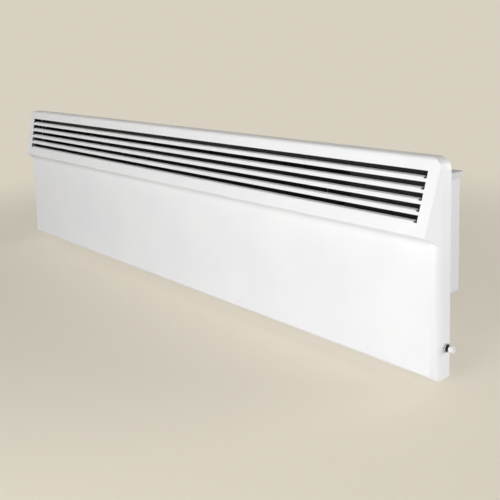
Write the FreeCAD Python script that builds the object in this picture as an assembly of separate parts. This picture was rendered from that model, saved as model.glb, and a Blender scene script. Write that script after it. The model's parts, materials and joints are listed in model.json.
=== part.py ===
"""Low wall-hung electric panel heater, built from its separate pieces.

Millimetres. X runs along the heater, right end positive; Y points to the wall; Z is up.
The origin is the centre of the wall bracket's screw pattern, on the wall's face.
"""
import FreeCAD
import Part

import math
import os

from FreeCAD import Vector

# Front panel, pressed from one steel sheet
PANEL_LENGTH = 900.0
PANEL_HEIGHT = 220.0
PANEL_SHEET = 1.2
FLANGE_DEPTH = 20.0
HEM_WIDTH = 10.0
CORNER_RADIUS = 13.0
FOOT_RADIUS = 2.0
SIDE_RADIUS = 10.0
EDGE_RADIUS = 5.0

# Sloping louvre zone of the panel, above its forward lip
LIP_HEIGHT = 144.0
LIP_REACH = 10.0
LIP_RADIUS = 2.5
LIP_END_INSET = 8.0
LIP_END_RADIUS = 2.0
LIP_SIDE_DEPTH = 16.0
LIP_SIDE_RADIUS = 14.0
UNDERCUT_HEIGHT = 7.0
TOP_SETBACK = 6.0
LOUVRE_LIP_MARGIN = 8.0
LOUVRE_PITCH = 10.9
LOUVRE_GAP = 4.6
LOUVRE_BEND = 2.0
LOUVRE_LEG = 2.6
LOUVRE_LEAN = 65.0
LOUVRE_ROOT = 0.5
FIRST_LOUVRE_DROP = 13.6
LOUVRE_END_INSET = 13.0
LOUVRE_END_RELIEF = 4.0

# Rear casing, a folded steel tray
CASING_HEIGHT = 125.0
CASING_DEPTH = 50.0
CASING_SHEET = 1.0
CASING_RADIUS = 5.0
CASING_END_INSET = 24.0
PANEL_ABOVE_CASING = 25.0
FLANGE_MARGIN = 3.0
BOTTOM_TURN = 8.0
INTAKE_SLOT_WIDTH = 6.0
INTAKE_PITCH = 14.0
INTAKE_MARGIN = 9.0
INTAKE_END_MARGIN = 14.0

# Wall bracket and its hooks
STANDOFF = 18.0
BRACKET_SHEET = 1.5
BRACKET_BEND = 1.0
BRACKET_HEIGHT = 98.0
ARM_SPACING = 480.0
ARM_CORNER = 3.0
HOOK_NECK = 10.0
HOOK_RISE = 10.0
HOOK_DEPTH = 4.0
HOOK_CORNER = 1.5
HOOK_SPACING = 48.0
UPPER_HOOK_Z = 6.0
HOOK_SIDE_GAP = 1.5
LIFT = 12.0
WALL_SLOT_WIDTH = 5.5
WALL_SLOT_LENGTH = 14.0
WALL_SLOT_SPACING_X = 380.0
WALL_SLOT_SPACING_Z = 60.0
BRACKET_WINDOW_LENGTH = 140.0
BRACKET_WINDOW_HEIGHT = 46.0
BRACKET_WINDOW_SPACING = 180.0
BRACKET_WINDOW_CORNER = 8.0

# Sheets of the warm-air duct
SHIELD_SHEET = 1.0
SHIELD_MARGIN = 3.0
SHIELD_RISE = 87.0
SHIELD_LIP = 16.0
SHIELD_LIP_END_GAP = 8.0
DEFLECTOR_SHEET = 0.8
DEFLECTOR_FOOT = 8.0
DEFLECTOR_BEND = 4.0
DEFLECTOR_DROP = 18.0
DEFLECTOR_RUN = 34.0
PARTITION_SHEET = 1.0
PARTITION_FOOT = 12.0

# Heating element
ELEMENT_RISE = 40.0
ELEMENT_HUB_RADIUS = 8.0
ELEMENT_FIN_WIDTH = 15.0
ELEMENT_FIN_HEIGHT = 20.0
ELEMENT_FIN_SHEET = 1.6
ELEMENT_RIB = 5.0
ELEMENT_RIB_COUNT = 3
SHEATH_RADIUS = 5.0
SHEATH_STUB = 14.0
PIN_RADIUS = 1.5
PIN_SPACING = 5.0
PIN_LENGTH = 10.0
BUSH_RADIUS = 7.0
BUSH_COLLAR_RADIUS = 9.5
BUSH_COLLAR = 3.0
BUSH_TAIL = 3.0
EXPANSION_GAP = 2.0
ELEMENT_BRACKET_SHEET = 1.2
ELEMENT_BRACKET_WIDTH = 32.0
ELEMENT_BRACKET_REACH = 13.0
ELEMENT_BRACKET_FOOT = 14.0
ELEMENT_BRACKET_CORNER = 6.0

# Control compartment at the casing's right end
CONTROL_WIDTH = 95.0
COVER_THICKNESS = 3.0
COVER_OVERHANG = 2.0
COVER_LIP = 4.0
COVER_CORNER = 3.0
COVER_EDGE = 2.0
CUTOUT_MARGIN = 8.0
SKIRT_WALL = 2.0
SKIRT_DEPTH = 5.0
BOARD_DROP = 9.0
BOARD_THICKNESS = 1.6
BOSS_RADIUS = 3.0
BOSS_INSET = 4.0
WINDOW_LENGTH = 26.0
WINDOW_WIDTH = 14.0
WINDOW_THICKNESS = 1.5
WINDOW_REBATE = 1.5
WINDOW_INSET = 5.0
BUTTON_RADIUS = 4.5
BUTTON_COLLAR = 1.0
BUTTON_COLLAR_THICKNESS = 1.2
BUTTON_STAND = 1.2
BUTTON_CROWN = 0.6
BUTTON_PITCH = 12.5
BUTTON_STEM_RADIUS = 1.5
BUTTON_TRAVEL = 1.0
TACT_SIZE = 6.0
TACT_HEIGHT = 3.5
TACT_PLUNGER = 1.5
RELAY_SIZE = (17.0, 14.0, 15.0)
TRANSFORMER_SIZE = (22.0, 20.0, 18.0)
CONNECTOR_SIZE = (7.0, 7.0, 8.0)
TERMINAL_LENGTH = 28.0
TERMINAL_HEIGHT = 16.0
TERMINAL_EDGE = 1.0
WIRE_ENTRY = 9.0
POLE_SCREW_INSET = 7.0
POLE_PITCH = 6.0
CUTOUT_BODY_RADIUS = 8.0
CUTOUT_BODY_LENGTH = 7.0
CUTOUT_NECK_RADIUS = 6.0
CUTOUT_HEIGHT = 67.0
BLADE_LENGTH = 9.0
BLADE_WIDTH = 5.0
BLADE_SHEET = 0.8
BLADE_SPACING = 8.0
GROMMET_BORE = 4.6
GROMMET_RADIUS = 8.0
GROMMET_GROOVE = 1.5
GROMMET_THICKNESS = 6.0
GLAND_BORE = 4.0
GLAND_TIP_WALL = 2.0
GLAND_RADIUS = 8.0
GLAND_COLLAR = 3.0
GLAND_TAIL = 10.0
GLAND_THREAD = 9.0
GLAND_NUT = 5.0
GLAND_NUT_SIDES = 6
GLAND_END_GAP = 15.0
EARTH_STUD_RADIUS = 2.0
EARTH_STUD_LENGTH = 8.0
EARTH_NUT = 3.5
EARTH_NUT_RADIUS = 4.0
EARTH_STUD_HEIGHT = 26.0
SENSOR_RADIUS = 3.0
SENSOR_TIP_RADIUS = 2.7
SENSOR_LENGTH = 14.0
SENSOR_COLLAR = 1.5

# Push switch low on the panel's right edge
SWITCH_HEIGHT = 32.0
SWITCH_BODY_RADIUS = 4.2
SWITCH_BODY_LENGTH = 16.0
SWITCH_BUSH_RADIUS = 3.4
SWITCH_NUT_RADIUS = 4.6
SWITCH_NUT = 1.8
SWITCH_NUT_EDGE = 0.5
POWER_CAP_RADIUS = 3.3
POWER_CAP_LENGTH = 4.4
POWER_CAP_CROWN = 0.8
POWER_BUTTON_RADIUS = 2.5
POWER_BUTTON_COLLAR = 0.6
POWER_BUTTON_COLLAR_THICKNESS = 1.5
POWER_BUTTON_TRAVEL = 2.5

# Wiring
LEAD_RADIUS = 1.4
THIN_LEAD_RADIUS = 1.0
LEAD_BEND = 7.0
LEAD_STRAIGHT = 5.0
LEAD_LEVEL = 11.5
LEAD_SPACING = 3.8
PIN_TO_RISER = 9.0
RISER_STEP = 6.0
RISER_TO_PARTITION = 9.5
BOARD_LEAD_INSET = 4.7
BOARD_LEAD_LEVELS = (26.0, 52.0)

# Fasteners
SCREW_RADIUS = 1.6
SCREW_HEAD_RADIUS = 3.0
SCREW_HEAD = 1.8
SCREW_CROWN = 0.6
SCREW_TIP = 4.0
RIVET_HEAD = 0.8
PANEL_SCREW_SPACING = 260.0
SIDE_SCREW_SPACING = 80.0
SHIELD_SCREW_SPACING = 200.0
RIVET_INSET = 6.0
PARTITION_RIVET_SPACING = 80.0

# Clearances
SEAT_GAP = 0.3
HOLE_GAP = 0.1
SLIDE_GAP = 0.25
PIECE_SPACING = 1.0
CUT_OVERRUN = 1.0

# Planes worked out from the sizes above
HALF_LENGTH = PANEL_LENGTH / 2
CASING_BACK = -STANDOFF
CASING_FRONT = CASING_BACK - CASING_DEPTH
CASING_END = HALF_LENGTH - CASING_END_INSET
CASING_TOP = CASING_HEIGHT / 2
CASING_BOTTOM = -CASING_HEIGHT / 2
CASING_FLOOR = CASING_BOTTOM + CASING_SHEET
CASING_CEILING = CASING_TOP - CASING_SHEET
CASING_INNER_BACK = CASING_BACK - CASING_SHEET
CASING_MIDDLE_Y = (CASING_FRONT + CASING_BACK) / 2
FLANGE_BACK = CASING_FRONT + CASING_SHEET
PANEL_REAR = CASING_FRONT
PANEL_FACE = PANEL_REAR - FLANGE_DEPTH
PANEL_TOP = CASING_TOP + PANEL_ABOVE_CASING
PANEL_BOTTOM = PANEL_TOP - PANEL_HEIGHT
LIP_Y = PANEL_FACE - LIP_REACH
LIP_Z = PANEL_BOTTOM + LIP_HEIGHT
TOP_Y = PANEL_FACE + TOP_SETBACK
HEM_SCREW_INSET = (FLANGE_MARGIN + HEM_WIDTH) / 2
ARM_X = ARM_SPACING / 2
HOOK_FOOTS = (UPPER_HOOK_Z - HOOK_SPACING, UPPER_HOOK_Z)
SHIELD_FRONT = CASING_FRONT - SHIELD_SHEET
SHIELD_TOP = CASING_BOTTOM + SHIELD_RISE
SHIELD_END = HALF_LENGTH - HEM_WIDTH - SHIELD_MARGIN
SHIELD_SCREW_Z = CASING_BOTTOM - BOTTOM_TURN / 2
CONTROL_LEFT = CASING_END - CONTROL_WIDTH
DUCT_LEFT = -CASING_END + CASING_SHEET
DUCT_RIGHT = CONTROL_LEFT - PARTITION_SHEET
ELEMENT_X = (DUCT_LEFT + DUCT_RIGHT) / 2
LEAD_ROOM = PIN_TO_RISER + RISER_STEP + RISER_TO_PARTITION
ELEMENT_LENGTH = DUCT_RIGHT - DUCT_LEFT - 2 * (SHEATH_STUB + PIN_LENGTH + LEAD_ROOM)
ELEMENT_Y = CASING_MIDDLE_Y
ELEMENT_Z = CASING_FLOOR + ELEMENT_RISE
ELEMENT_RIGHT = ELEMENT_X + ELEMENT_LENGTH / 2
PIN_END = ELEMENT_RIGHT + SHEATH_STUB + PIN_LENGTH
LEAD_Z = CASING_FLOOR + LEAD_LEVEL
CUTOUT_Z = CASING_FLOOR + CUTOUT_HEIGHT
BOARD_TOP = CASING_TOP - BOARD_DROP
BOARD_BOTTOM = BOARD_TOP - BOARD_THICKNESS
COVER_TOP = CASING_TOP + COVER_THICKNESS
CUTOUT_LOW = (CONTROL_LEFT + CUTOUT_MARGIN, CASING_FRONT + CUTOUT_MARGIN)
CUTOUT_HIGH = (CASING_END - CUTOUT_MARGIN, CASING_BACK - CUTOUT_MARGIN)
SKIRT_TO_BOARD = 2 * SEAT_GAP + SKIRT_WALL
BOARD_LOW = tuple(value + SKIRT_TO_BOARD for value in CUTOUT_LOW)
BOARD_HIGH = tuple(value - SKIRT_TO_BOARD for value in CUTOUT_HIGH)
BOARD_MIDDLE_Y = (BOARD_LOW[1] + BOARD_HIGH[1]) / 2
WINDOW_X = BOARD_LOW[0] + WINDOW_INSET + WINDOW_LENGTH / 2
LAST_BUTTON_X = BOARD_HIGH[0] - BUTTON_RADIUS - BUTTON_COLLAR - BOSS_INSET / 2
BUTTON_X = tuple(LAST_BUTTON_X - BUTTON_PITCH * place for place in (2, 1, 0))
SWITCH_Y = (PANEL_FACE + SIDE_RADIUS + PANEL_REAR - PANEL_SHEET) / 2
SWITCH_Z = PANEL_BOTTOM + SWITCH_HEIGHT
FLANGE_INNER_X = HALF_LENGTH - PANEL_SHEET
SWITCH_INNER_X = FLANGE_INNER_X - SWITCH_BODY_LENGTH
NUT_FACE_X = HALF_LENGTH + SWITCH_NUT
GLAND_X = CASING_END - CASING_SHEET - GLAND_END_GAP
GLAND_SIDE = GLAND_RADIUS + GLAND_COLLAR
TERMINAL_RIGHT = GLAND_X - GLAND_SIDE - PIECE_SPACING
TERMINAL_LEFT = TERMINAL_RIGHT - TERMINAL_LENGTH
TERMINAL_TOP = CASING_FLOOR + TERMINAL_HEIGHT
POLE_Y = tuple(CASING_MIDDLE_Y + POLE_PITCH * place for place in (-1, 0, 1))
ELEMENT_LEAD_Y = POLE_Y[2] - LEAD_SPACING
NEUTRAL_RISER_X = DUCT_RIGHT - RISER_TO_PARTITION
ELEMENT_RISER_X = NEUTRAL_RISER_X - RISER_STEP
BLADE_END = CONTROL_LEFT + BLADE_LENGTH
LIVE_RISER_X = BLADE_END + LEAD_BEND + PIECE_SPACING
DROP_X = LIVE_RISER_X + LEAD_BEND + PIECE_SPACING
SENSOR_X = CONTROL_LEFT + PARTITION_FOOT
SENSOR_Y = CUTOUT_LOW[1]
LOUVRE_UP = Vector(0, TOP_Y - LIP_Y, PANEL_TOP - LIP_Z).normalize()
LOUVRE_INWARD = Vector(0, LOUVRE_UP.z, -LOUVRE_UP.y)
LEAN = math.radians(LOUVRE_LEAN)
LOUVRE_OPENING = LOUVRE_GAP + LOUVRE_BEND * math.sin(LEAN) + LOUVRE_LEG * math.cos(LEAN)
LOUVRE_ZONE = math.hypot(TOP_Y - LIP_Y, PANEL_TOP - LIP_Z)
LOUVRE_ROOM = LOUVRE_ZONE - FIRST_LOUVRE_DROP - LOUVRE_OPENING - LOUVRE_LIP_MARGIN
LOUVRE_COUNT = 1 + math.floor(LOUVRE_ROOM / LOUVRE_PITCH)


def box(low, high):
    """Block between two opposite corners."""
    sizes = [end - start for start, end in zip(low, high)]
    return Part.makeBox(*sizes, Vector(*low))


def rod(radius, start, end):
    """Round bar between two points."""
    start, end = Vector(*start), Vector(*end)
    return Part.makeCylinder(radius, (end - start).Length, start, end - start)


def ring(outer, bore, start, end):
    """Round bar with a hole along its axis."""
    return rod(outer, start, end).cut(rod(bore, start, end))


def rectangle(low, high, radius):
    """Four corners of a rectangle, each as (a, b, radius)."""
    (left, bottom), (right, top) = low, high
    places = ((left, bottom), (right, bottom), (right, top), (left, top))
    return [(a, b, radius) for a, b in places]


def outline(corners, place):
    """Closed face through corners (a, b, radius), rounded and set in space by place(a, b)."""
    points = [Vector(a, b, 0) for a, b, _ in corners]
    bends = []
    for index, (_, _, radius) in enumerate(corners):
        here = points[index]
        back = (points[index - 1] - here).normalize()
        ahead = (points[(index + 1) % len(points)] - here).normalize()
        half_angle = back.getAngle(ahead) / 2
        reach = radius / math.tan(half_angle)
        depth = radius / math.sin(half_angle) - radius
        middle = here + (back + ahead).normalize() * depth
        bends.append([place(p.x, p.y) for p in (here + back * reach, middle, here + ahead * reach)])
    edges = []
    for index, (start, middle, end) in enumerate(bends):
        if corners[index][2] > 0:
            edges.append(Part.Arc(start, middle, end).toShape())
        following = bends[(index + 1) % len(bends)][0]
        edges.append(Part.LineSegment(end, following).toShape())
    return Part.Face(Part.Wire(edges))


def in_side_view(x):
    """Places side-view points (y, z) at x."""
    return lambda y, z: Vector(x, y, z)


def in_plan_view(z):
    """Places plan points (x, y) at height z."""
    return lambda x, y: Vector(x, y, z)


def in_front_view(y):
    """Places front-view points (x, z) at y."""
    return lambda x, z: Vector(x, y, z)


def screw(head_seat, direction, grip):
    """Pan-head screw: its head behind head_seat, its shank along direction through grip."""
    seat, along = Vector(*head_seat), Vector(*direction)
    head = rod(SCREW_HEAD_RADIUS, seat - along * SCREW_HEAD, seat)
    rim = [edge for edge in head.Edges if (edge.BoundBox.Center - seat).Length > SCREW_HEAD / 2]
    head = head.makeFillet(SCREW_CROWN, [edge for edge in rim if edge.Closed])
    return head.fuse(rod(SCREW_RADIUS, seat, seat + along * (grip + SCREW_TIP))).removeSplitter()


def screw_hole(centre, direction):
    """Clearance hole for a screw or rivet through the sheets at centre."""
    middle, along = Vector(*centre), Vector(*direction)
    reach = CASING_SHEET + PANEL_SHEET + SHIELD_SHEET + CUT_OVERRUN
    return rod(SCREW_RADIUS + HOLE_GAP, middle - along * reach, middle + along * reach)


def lead(points, radius, bend):
    """Wire along straight runs joined by tangent arcs of one radius."""
    points = [Vector(*point) for point in points]
    edges = []
    run_start = points[0]
    for before, corner, after in zip(points, points[1:], points[2:]):
        back = (before - corner).normalize()
        ahead = (after - corner).normalize()
        half_angle = back.getAngle(ahead) / 2
        arc_start = corner + back * (bend / math.tan(half_angle))
        arc_end = corner + ahead * (bend / math.tan(half_angle))
        depth = bend / math.sin(half_angle) - bend
        middle = corner + (back + ahead).normalize() * depth
        edges.append(Part.LineSegment(run_start, arc_start).toShape())
        edges.append(Part.Arc(arc_start, middle, arc_end).toShape())
        run_start = arc_end
    edges.append(Part.LineSegment(run_start, points[-1]).toShape())
    section = Part.Wire(Part.makeCircle(radius, points[0], points[1] - points[0]))
    return Part.Wire(edges).makePipeShell([section], True, False)


# Front panel


def mirrored(right):
    """Corners of a closed plan from those of its right half, front to back."""
    return right + [(-x, y, radius) for x, y, radius in reversed(right)]


def body_profiles():
    """Side view and plan of the panel without its lip: rounded bottom, top and side edges."""
    fold_z = PANEL_TOP - TOP_SETBACK * LOUVRE_UP.z / LOUVRE_UP.y
    corners = [
        (PANEL_REAR, PANEL_BOTTOM, 0),
        (PANEL_FACE, PANEL_BOTTOM, EDGE_RADIUS),
        (PANEL_FACE, fold_z, 0),
        (TOP_Y, PANEL_TOP, EDGE_RADIUS),
        (PANEL_REAR, PANEL_TOP, 0),
    ]
    plan = mirrored([(HALF_LENGTH, PANEL_FACE, SIDE_RADIUS), (HALF_LENGTH, PANEL_REAR, 0)])
    return outline(corners, in_side_view(-HALF_LENGTH)), outline(plan, in_plan_view(PANEL_BOTTOM))


def lip_profiles():
    """Side view and plan of the sloping zone: its lip stands forward and its ends slope back."""
    undercut_run = UNDERCUT_HEIGHT / LIP_REACH
    undercut_back = LIP_Z - undercut_run * (PANEL_REAR - LIP_Y)
    corners = [
        (PANEL_REAR, undercut_back, 0),
        (LIP_Y, LIP_Z, LIP_RADIUS),
        (TOP_Y, PANEL_TOP, EDGE_RADIUS),
        (PANEL_REAR, PANEL_TOP, 0),
    ]
    plan = mirrored([
        (HALF_LENGTH - LIP_END_INSET, LIP_Y, LIP_END_RADIUS),
        (HALF_LENGTH, LIP_Y + LIP_SIDE_DEPTH, LIP_SIDE_RADIUS),
        (HALF_LENGTH, PANEL_REAR, 0),
    ])
    return outline(corners, in_side_view(-HALF_LENGTH)), outline(plan, in_plan_view(PANEL_BOTTOM))


def front_profile(inset):
    """Front view of the panel, moved in by inset: full upper corners and tight lower ones."""
    side = HALF_LENGTH - inset
    lower, upper = PANEL_BOTTOM + inset, PANEL_TOP - inset
    foot, corner = (max(radius - inset, PANEL_SHEET) for radius in (FOOT_RADIUS, CORNER_RADIUS))
    corners = [(-side, lower, foot), (side, lower, foot), (side, upper, corner), (-side, upper, corner)]
    return outline(corners, in_front_view(LIP_Y))


def panel_block(inset):
    """Solid with the panel's outside, or with every face moved in by inset."""
    blocks = []
    for side, plan in (body_profiles(), lip_profiles()):
        if inset:
            side, plan = side.makeOffset2D(-inset), plan.makeOffset2D(-inset)
        along = side.extrude(Vector(PANEL_LENGTH, 0, 0))
        blocks.append(along.common(plan.extrude(Vector(0, 0, PANEL_HEIGHT))))
    through = front_profile(inset).extrude(Vector(0, PANEL_REAR - LIP_Y, 0))
    return blocks[0].fuse(blocks[1]).common(through).removeSplitter()


def on_louvre(x, drop, depth):
    """Point of the sloping face: drop below its top edge, depth behind its outside."""
    return Vector(x, TOP_Y, PANEL_TOP) - LOUVRE_UP * drop + LOUVRE_INWARD * depth


def louvre_half_length(drop):
    """Half length of a slot at one height: its ends follow the sloping ends of the lip."""
    forward = LIP_Y + LIP_SIDE_DEPTH - on_louvre(0, drop, 0).y
    return HALF_LENGTH - LIP_END_INSET * forward / LIP_SIDE_DEPTH - LOUVRE_END_INSET


def louvre_slot(top):
    """Cut for one slot."""
    bottom = top + LOUVRE_OPENING
    upper, lower = louvre_half_length(top), louvre_half_length(bottom)
    corners = ((-upper, top), (upper, top), (lower, bottom), (-lower, bottom))
    points = [on_louvre(x, drop, -CUT_OVERRUN) for x, drop in corners]
    face = Part.Face(Part.makePolygon(points + points[:1]))
    return face.extrude(LOUVRE_INWARD * (PANEL_SHEET + 2 * CUT_OVERRUN))


def louvre_edge(top):
    """Lower edge of one slot, bent to lean inwards and relieved at its ends."""
    bottom = top + LOUVRE_OPENING
    half = louvre_half_length(bottom) - LOUVRE_END_RELIEF

    def bent(radius, angle, run):
        """Point round the bend and then along the leaning leg."""
        drop = bottom - radius * math.sin(angle) - run * math.cos(angle)
        return on_louvre(-half, drop, LOUVRE_BEND - radius * math.cos(angle) + run * math.sin(angle))

    inner = LOUVRE_BEND - PANEL_SHEET
    front_root = on_louvre(-half, bottom + LOUVRE_ROOT, 0)
    back_root = on_louvre(-half, bottom + LOUVRE_ROOT, PANEL_SHEET)
    tip = [bent(radius, LEAN, LOUVRE_LEG) for radius in (LOUVRE_BEND, inner)]
    edges = [
        Part.LineSegment(front_root, bent(LOUVRE_BEND, 0, 0)).toShape(),
        Part.Arc(*(bent(LOUVRE_BEND, LEAN * part, 0) for part in (0, 0.5, 1))).toShape(),
        Part.LineSegment(bent(LOUVRE_BEND, LEAN, 0), tip[0]).toShape(),
        Part.LineSegment(*tip).toShape(),
        Part.LineSegment(tip[1], bent(inner, LEAN, 0)).toShape(),
        Part.Arc(*(bent(inner, LEAN * part, 0) for part in (1, 0.5, 0))).toShape(),
        Part.LineSegment(bent(inner, 0, 0), back_root).toShape(),
        Part.LineSegment(back_root, front_root).toShape(),
    ]
    return Part.Face(Part.Wire(edges)).extrude(Vector(2 * half, 0, 0))


def panel_screw_places():
    """Where the casing's flange is screwed to the panel's hem, as (x, z)."""
    top = PANEL_TOP - HEM_SCREW_INSET
    side = HALF_LENGTH - HEM_SCREW_INSET
    upper = [(PANEL_SCREW_SPACING * place, top) for place in (-1, 0, 1)]
    ends = [(x, SIDE_SCREW_SPACING * half) for x in (-side, side) for half in (-0.5, 0.5)]
    return upper + ends


def panel_screw_holes():
    """Clearance holes through the hem and the casing's flange."""
    return [screw_hole((x, PANEL_REAR, z), (0, 1, 0)) for x, z in panel_screw_places()]


def front_panel():
    """Pressed panel: hollow behind, hemmed, with bent louvres and a hole for the push switch."""
    tops = [FIRST_LOUVRE_DROP + LOUVRE_PITCH * index for index in range(LOUVRE_COUNT)]
    opening = front_profile(HEM_WIDTH).extrude(Vector(0, PANEL_REAR - LIP_Y + CUT_OVERRUN, 0))
    rear_side = box(
        (-HALF_LENGTH, PANEL_REAR - 2 * PANEL_SHEET, PANEL_BOTTOM),
        (HALF_LENGTH, PANEL_REAR + CUT_OVERRUN, PANEL_TOP),
    )
    switch_hole = rod(
        SWITCH_BUSH_RADIUS + HOLE_GAP,
        (FLANGE_INNER_X - CUT_OVERRUN, SWITCH_Y, SWITCH_Z),
        (HALF_LENGTH + CUT_OVERRUN, SWITCH_Y, SWITCH_Z),
    )
    shell = panel_block(0).cut(panel_block(PANEL_SHEET)).cut(opening.common(rear_side))
    shell = shell.cut([louvre_slot(top) for top in tops])
    shell = shell.fuse([louvre_edge(top) for top in tops])
    return shell.cut(panel_screw_holes() + [switch_hole]).removeSplitter()


def panel_screws():
    """Screws from behind through the casing's flange into the panel's hem."""
    grip = CASING_SHEET + PANEL_SHEET
    screws = [screw((x, FLANGE_BACK, z), (0, -1, 0), grip) for x, z in panel_screw_places()]
    return Part.makeCompound(screws)


# Rear casing and wall bracket


def casing_block(inset):
    """Solid with the tray's outside, or with every wall moved in by inset and the front left open."""
    front = CASING_FRONT - (CUT_OVERRUN if inset else 0)
    low = (inset - CASING_END, front, CASING_BOTTOM + inset)
    high = (CASING_END - inset, CASING_BACK - inset, CASING_TOP - inset)
    block = box(low, high)
    edges = [edge for edge in block.Edges if edge.BoundBox.YMax > CASING_FRONT]
    return block.makeFillet(CASING_RADIUS - inset, edges)


def casing_flange():
    """Plate round the tray's mouth, which lies on the panel's hem."""
    low = (FLANGE_MARGIN - HALF_LENGTH, CASING_BOTTOM - BOTTOM_TURN)
    high = (HALF_LENGTH - FLANGE_MARGIN, PANEL_TOP - FLANGE_MARGIN)
    corners = rectangle(low, high, CORNER_RADIUS - FLANGE_MARGIN)
    return outline(corners, in_front_view(CASING_FRONT)).extrude(Vector(0, CASING_SHEET, 0))


def intake_slots():
    """Row of air slots in the tray's floor, under the duct."""
    start = DUCT_LEFT + INTAKE_END_MARGIN
    count = int((DUCT_RIGHT - INTAKE_END_MARGIN - start - INTAKE_SLOT_WIDTH) / INTAKE_PITCH) + 1
    lefts = [start + INTAKE_PITCH * index for index in range(count)]
    front, back = CASING_FRONT + INTAKE_MARGIN, CASING_BACK - INTAKE_MARGIN
    under, over = CASING_BOTTOM - CUT_OVERRUN, CASING_FLOOR + CUT_OVERRUN
    return [box((x, front, under), (x + INTAKE_SLOT_WIDTH, back, over)) for x in lefts]


def hook_slots():
    """Tall slots in the tray's back that take the bracket's hooks and leave room to lift off."""
    half_width = BRACKET_SHEET / 2 + HOOK_SIDE_GAP
    middle = ARM_X - BRACKET_SHEET / 2
    slots = []
    for x in (-middle, middle):
        for foot in HOOK_FOOTS:
            low = (x - half_width, CASING_INNER_BACK - CUT_OVERRUN, foot - LIFT - SEAT_GAP)
            high = (x + half_width, CASING_BACK + CUT_OVERRUN, foot + HOOK_NECK + SEAT_GAP)
            slots.append(box(low, high))
    return slots


def floor_hole(radius, x, y):
    """Round hole through the tray's floor."""
    return rod(radius, (x, y, CASING_BOTTOM - CUT_OVERRUN), (x, y, CASING_FLOOR + CUT_OVERRUN))


def shield_screw_places():
    """Where the inner shield is screwed to the casing's flange, as (x, z)."""
    places = (-1.5, -0.5, 0.5, 1.5)
    return [(SHIELD_SCREW_SPACING * place, SHIELD_SCREW_Z) for place in places]


def rivet_places():
    """Rivets through the tray's back, as (x, z, sheet held there)."""
    half = ELEMENT_BRACKET_WIDTH / 2 - RIVET_INSET
    foot_middle = ELEMENT_BRACKET_FOOT / 2 + element_bracket_face()
    places = [
        (x, ELEMENT_Z + side * half, ELEMENT_BRACKET_SHEET)
        for x in (ELEMENT_X - foot_middle, ELEMENT_X + foot_middle)
        for side in (-1, 1)
    ]
    partition_x = CONTROL_LEFT + PARTITION_FOOT / 2
    partition = PARTITION_RIVET_SPACING / 2
    return places + [(partition_x, z, PARTITION_SHEET) for z in (-partition, partition)]


def rear_casing():
    """Steel tray with its flange, air slots, hook slots and the openings of the control end."""
    shell = casing_block(0).fuse(casing_flange()).cut(casing_block(CASING_SHEET))
    top_opening = box(
        (*CUTOUT_LOW, CASING_CEILING - CUT_OVERRUN),
        (*CUTOUT_HIGH, CASING_TOP + CUT_OVERRUN),
    )
    holes = [top_opening]
    holes.append(floor_hole(GLAND_RADIUS + HOLE_GAP, GLAND_X, CASING_MIDDLE_Y))
    holes.append(floor_hole(SENSOR_RADIUS + HOLE_GAP, SENSOR_X, SENSOR_Y))
    holes.append(floor_hole(LEAD_RADIUS + SEAT_GAP, GLAND_X, SENSOR_Y))
    holes += [screw_hole((x, CASING_FRONT, z), (0, 1, 0)) for x, z in shield_screw_places()]
    holes += [screw_hole((x, CASING_BACK, z), (0, 1, 0)) for x, z, _ in rivet_places()]
    holes += panel_screw_holes() + hook_slots() + intake_slots()
    return shell.cut(holes).removeSplitter()


def casing_rivets():
    """Rivets that hold the element's brackets and the partition to the tray's back."""
    rivets = []
    for x, z, held in rivet_places():
        inner = CASING_INNER_BACK - held
        shank = rod(SCREW_RADIUS, (x, inner - RIVET_HEAD, z), (x, CASING_BACK + RIVET_HEAD, z))
        inner_head = rod(SCREW_HEAD_RADIUS, (x, inner - RIVET_HEAD, z), (x, inner, z))
        outer_head = rod(SCREW_HEAD_RADIUS, (x, CASING_BACK, z), (x, CASING_BACK + RIVET_HEAD, z))
        rivets.append(shank.fuse([inner_head, outer_head]).removeSplitter())
    return Part.makeCompound(rivets)


def hook_corners(foot):
    """Corners of one hook, seen from the side: out of the arm, up behind the tray's wall and back."""
    arm_front = CASING_BACK + SEAT_GAP
    back = CASING_INNER_BACK - SEAT_GAP
    front = back - HOOK_DEPTH
    seat = foot + HOOK_NECK
    return [
        (arm_front, foot, 0),
        (front, foot, HOOK_CORNER),
        (front, seat + HOOK_RISE, HOOK_CORNER),
        (back, seat + HOOK_RISE, HOOK_CORNER),
        (back, seat, 0),
        (arm_front, seat, 0),
    ]


def wall_slot(x, z):
    """Slotted screw hole through the bracket's base."""
    radius = WALL_SLOT_WIDTH / 2
    half = WALL_SLOT_LENGTH / 2 - radius
    front, back = -BRACKET_SHEET - CUT_OVERRUN, CUT_OVERRUN
    middle = box((x - half, front, z - radius), (x + half, back, z + radius))
    ends = [rod(radius, (x + side * half, front, z), (x + side * half, back, z)) for side in (-1, 1)]
    return middle.fuse(ends).removeSplitter()


def bracket_window(x):
    """Rounded opening that lightens the bracket's base."""
    half_length, half_height = BRACKET_WINDOW_LENGTH / 2, BRACKET_WINDOW_HEIGHT / 2
    low, high = (x - half_length, -half_height), (x + half_length, half_height)
    corners = rectangle(low, high, BRACKET_WINDOW_CORNER)
    face = outline(corners, in_front_view(-BRACKET_SHEET - CUT_OVERRUN))
    return face.extrude(Vector(0, BRACKET_SHEET + 2 * CUT_OVERRUN, 0))


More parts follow.
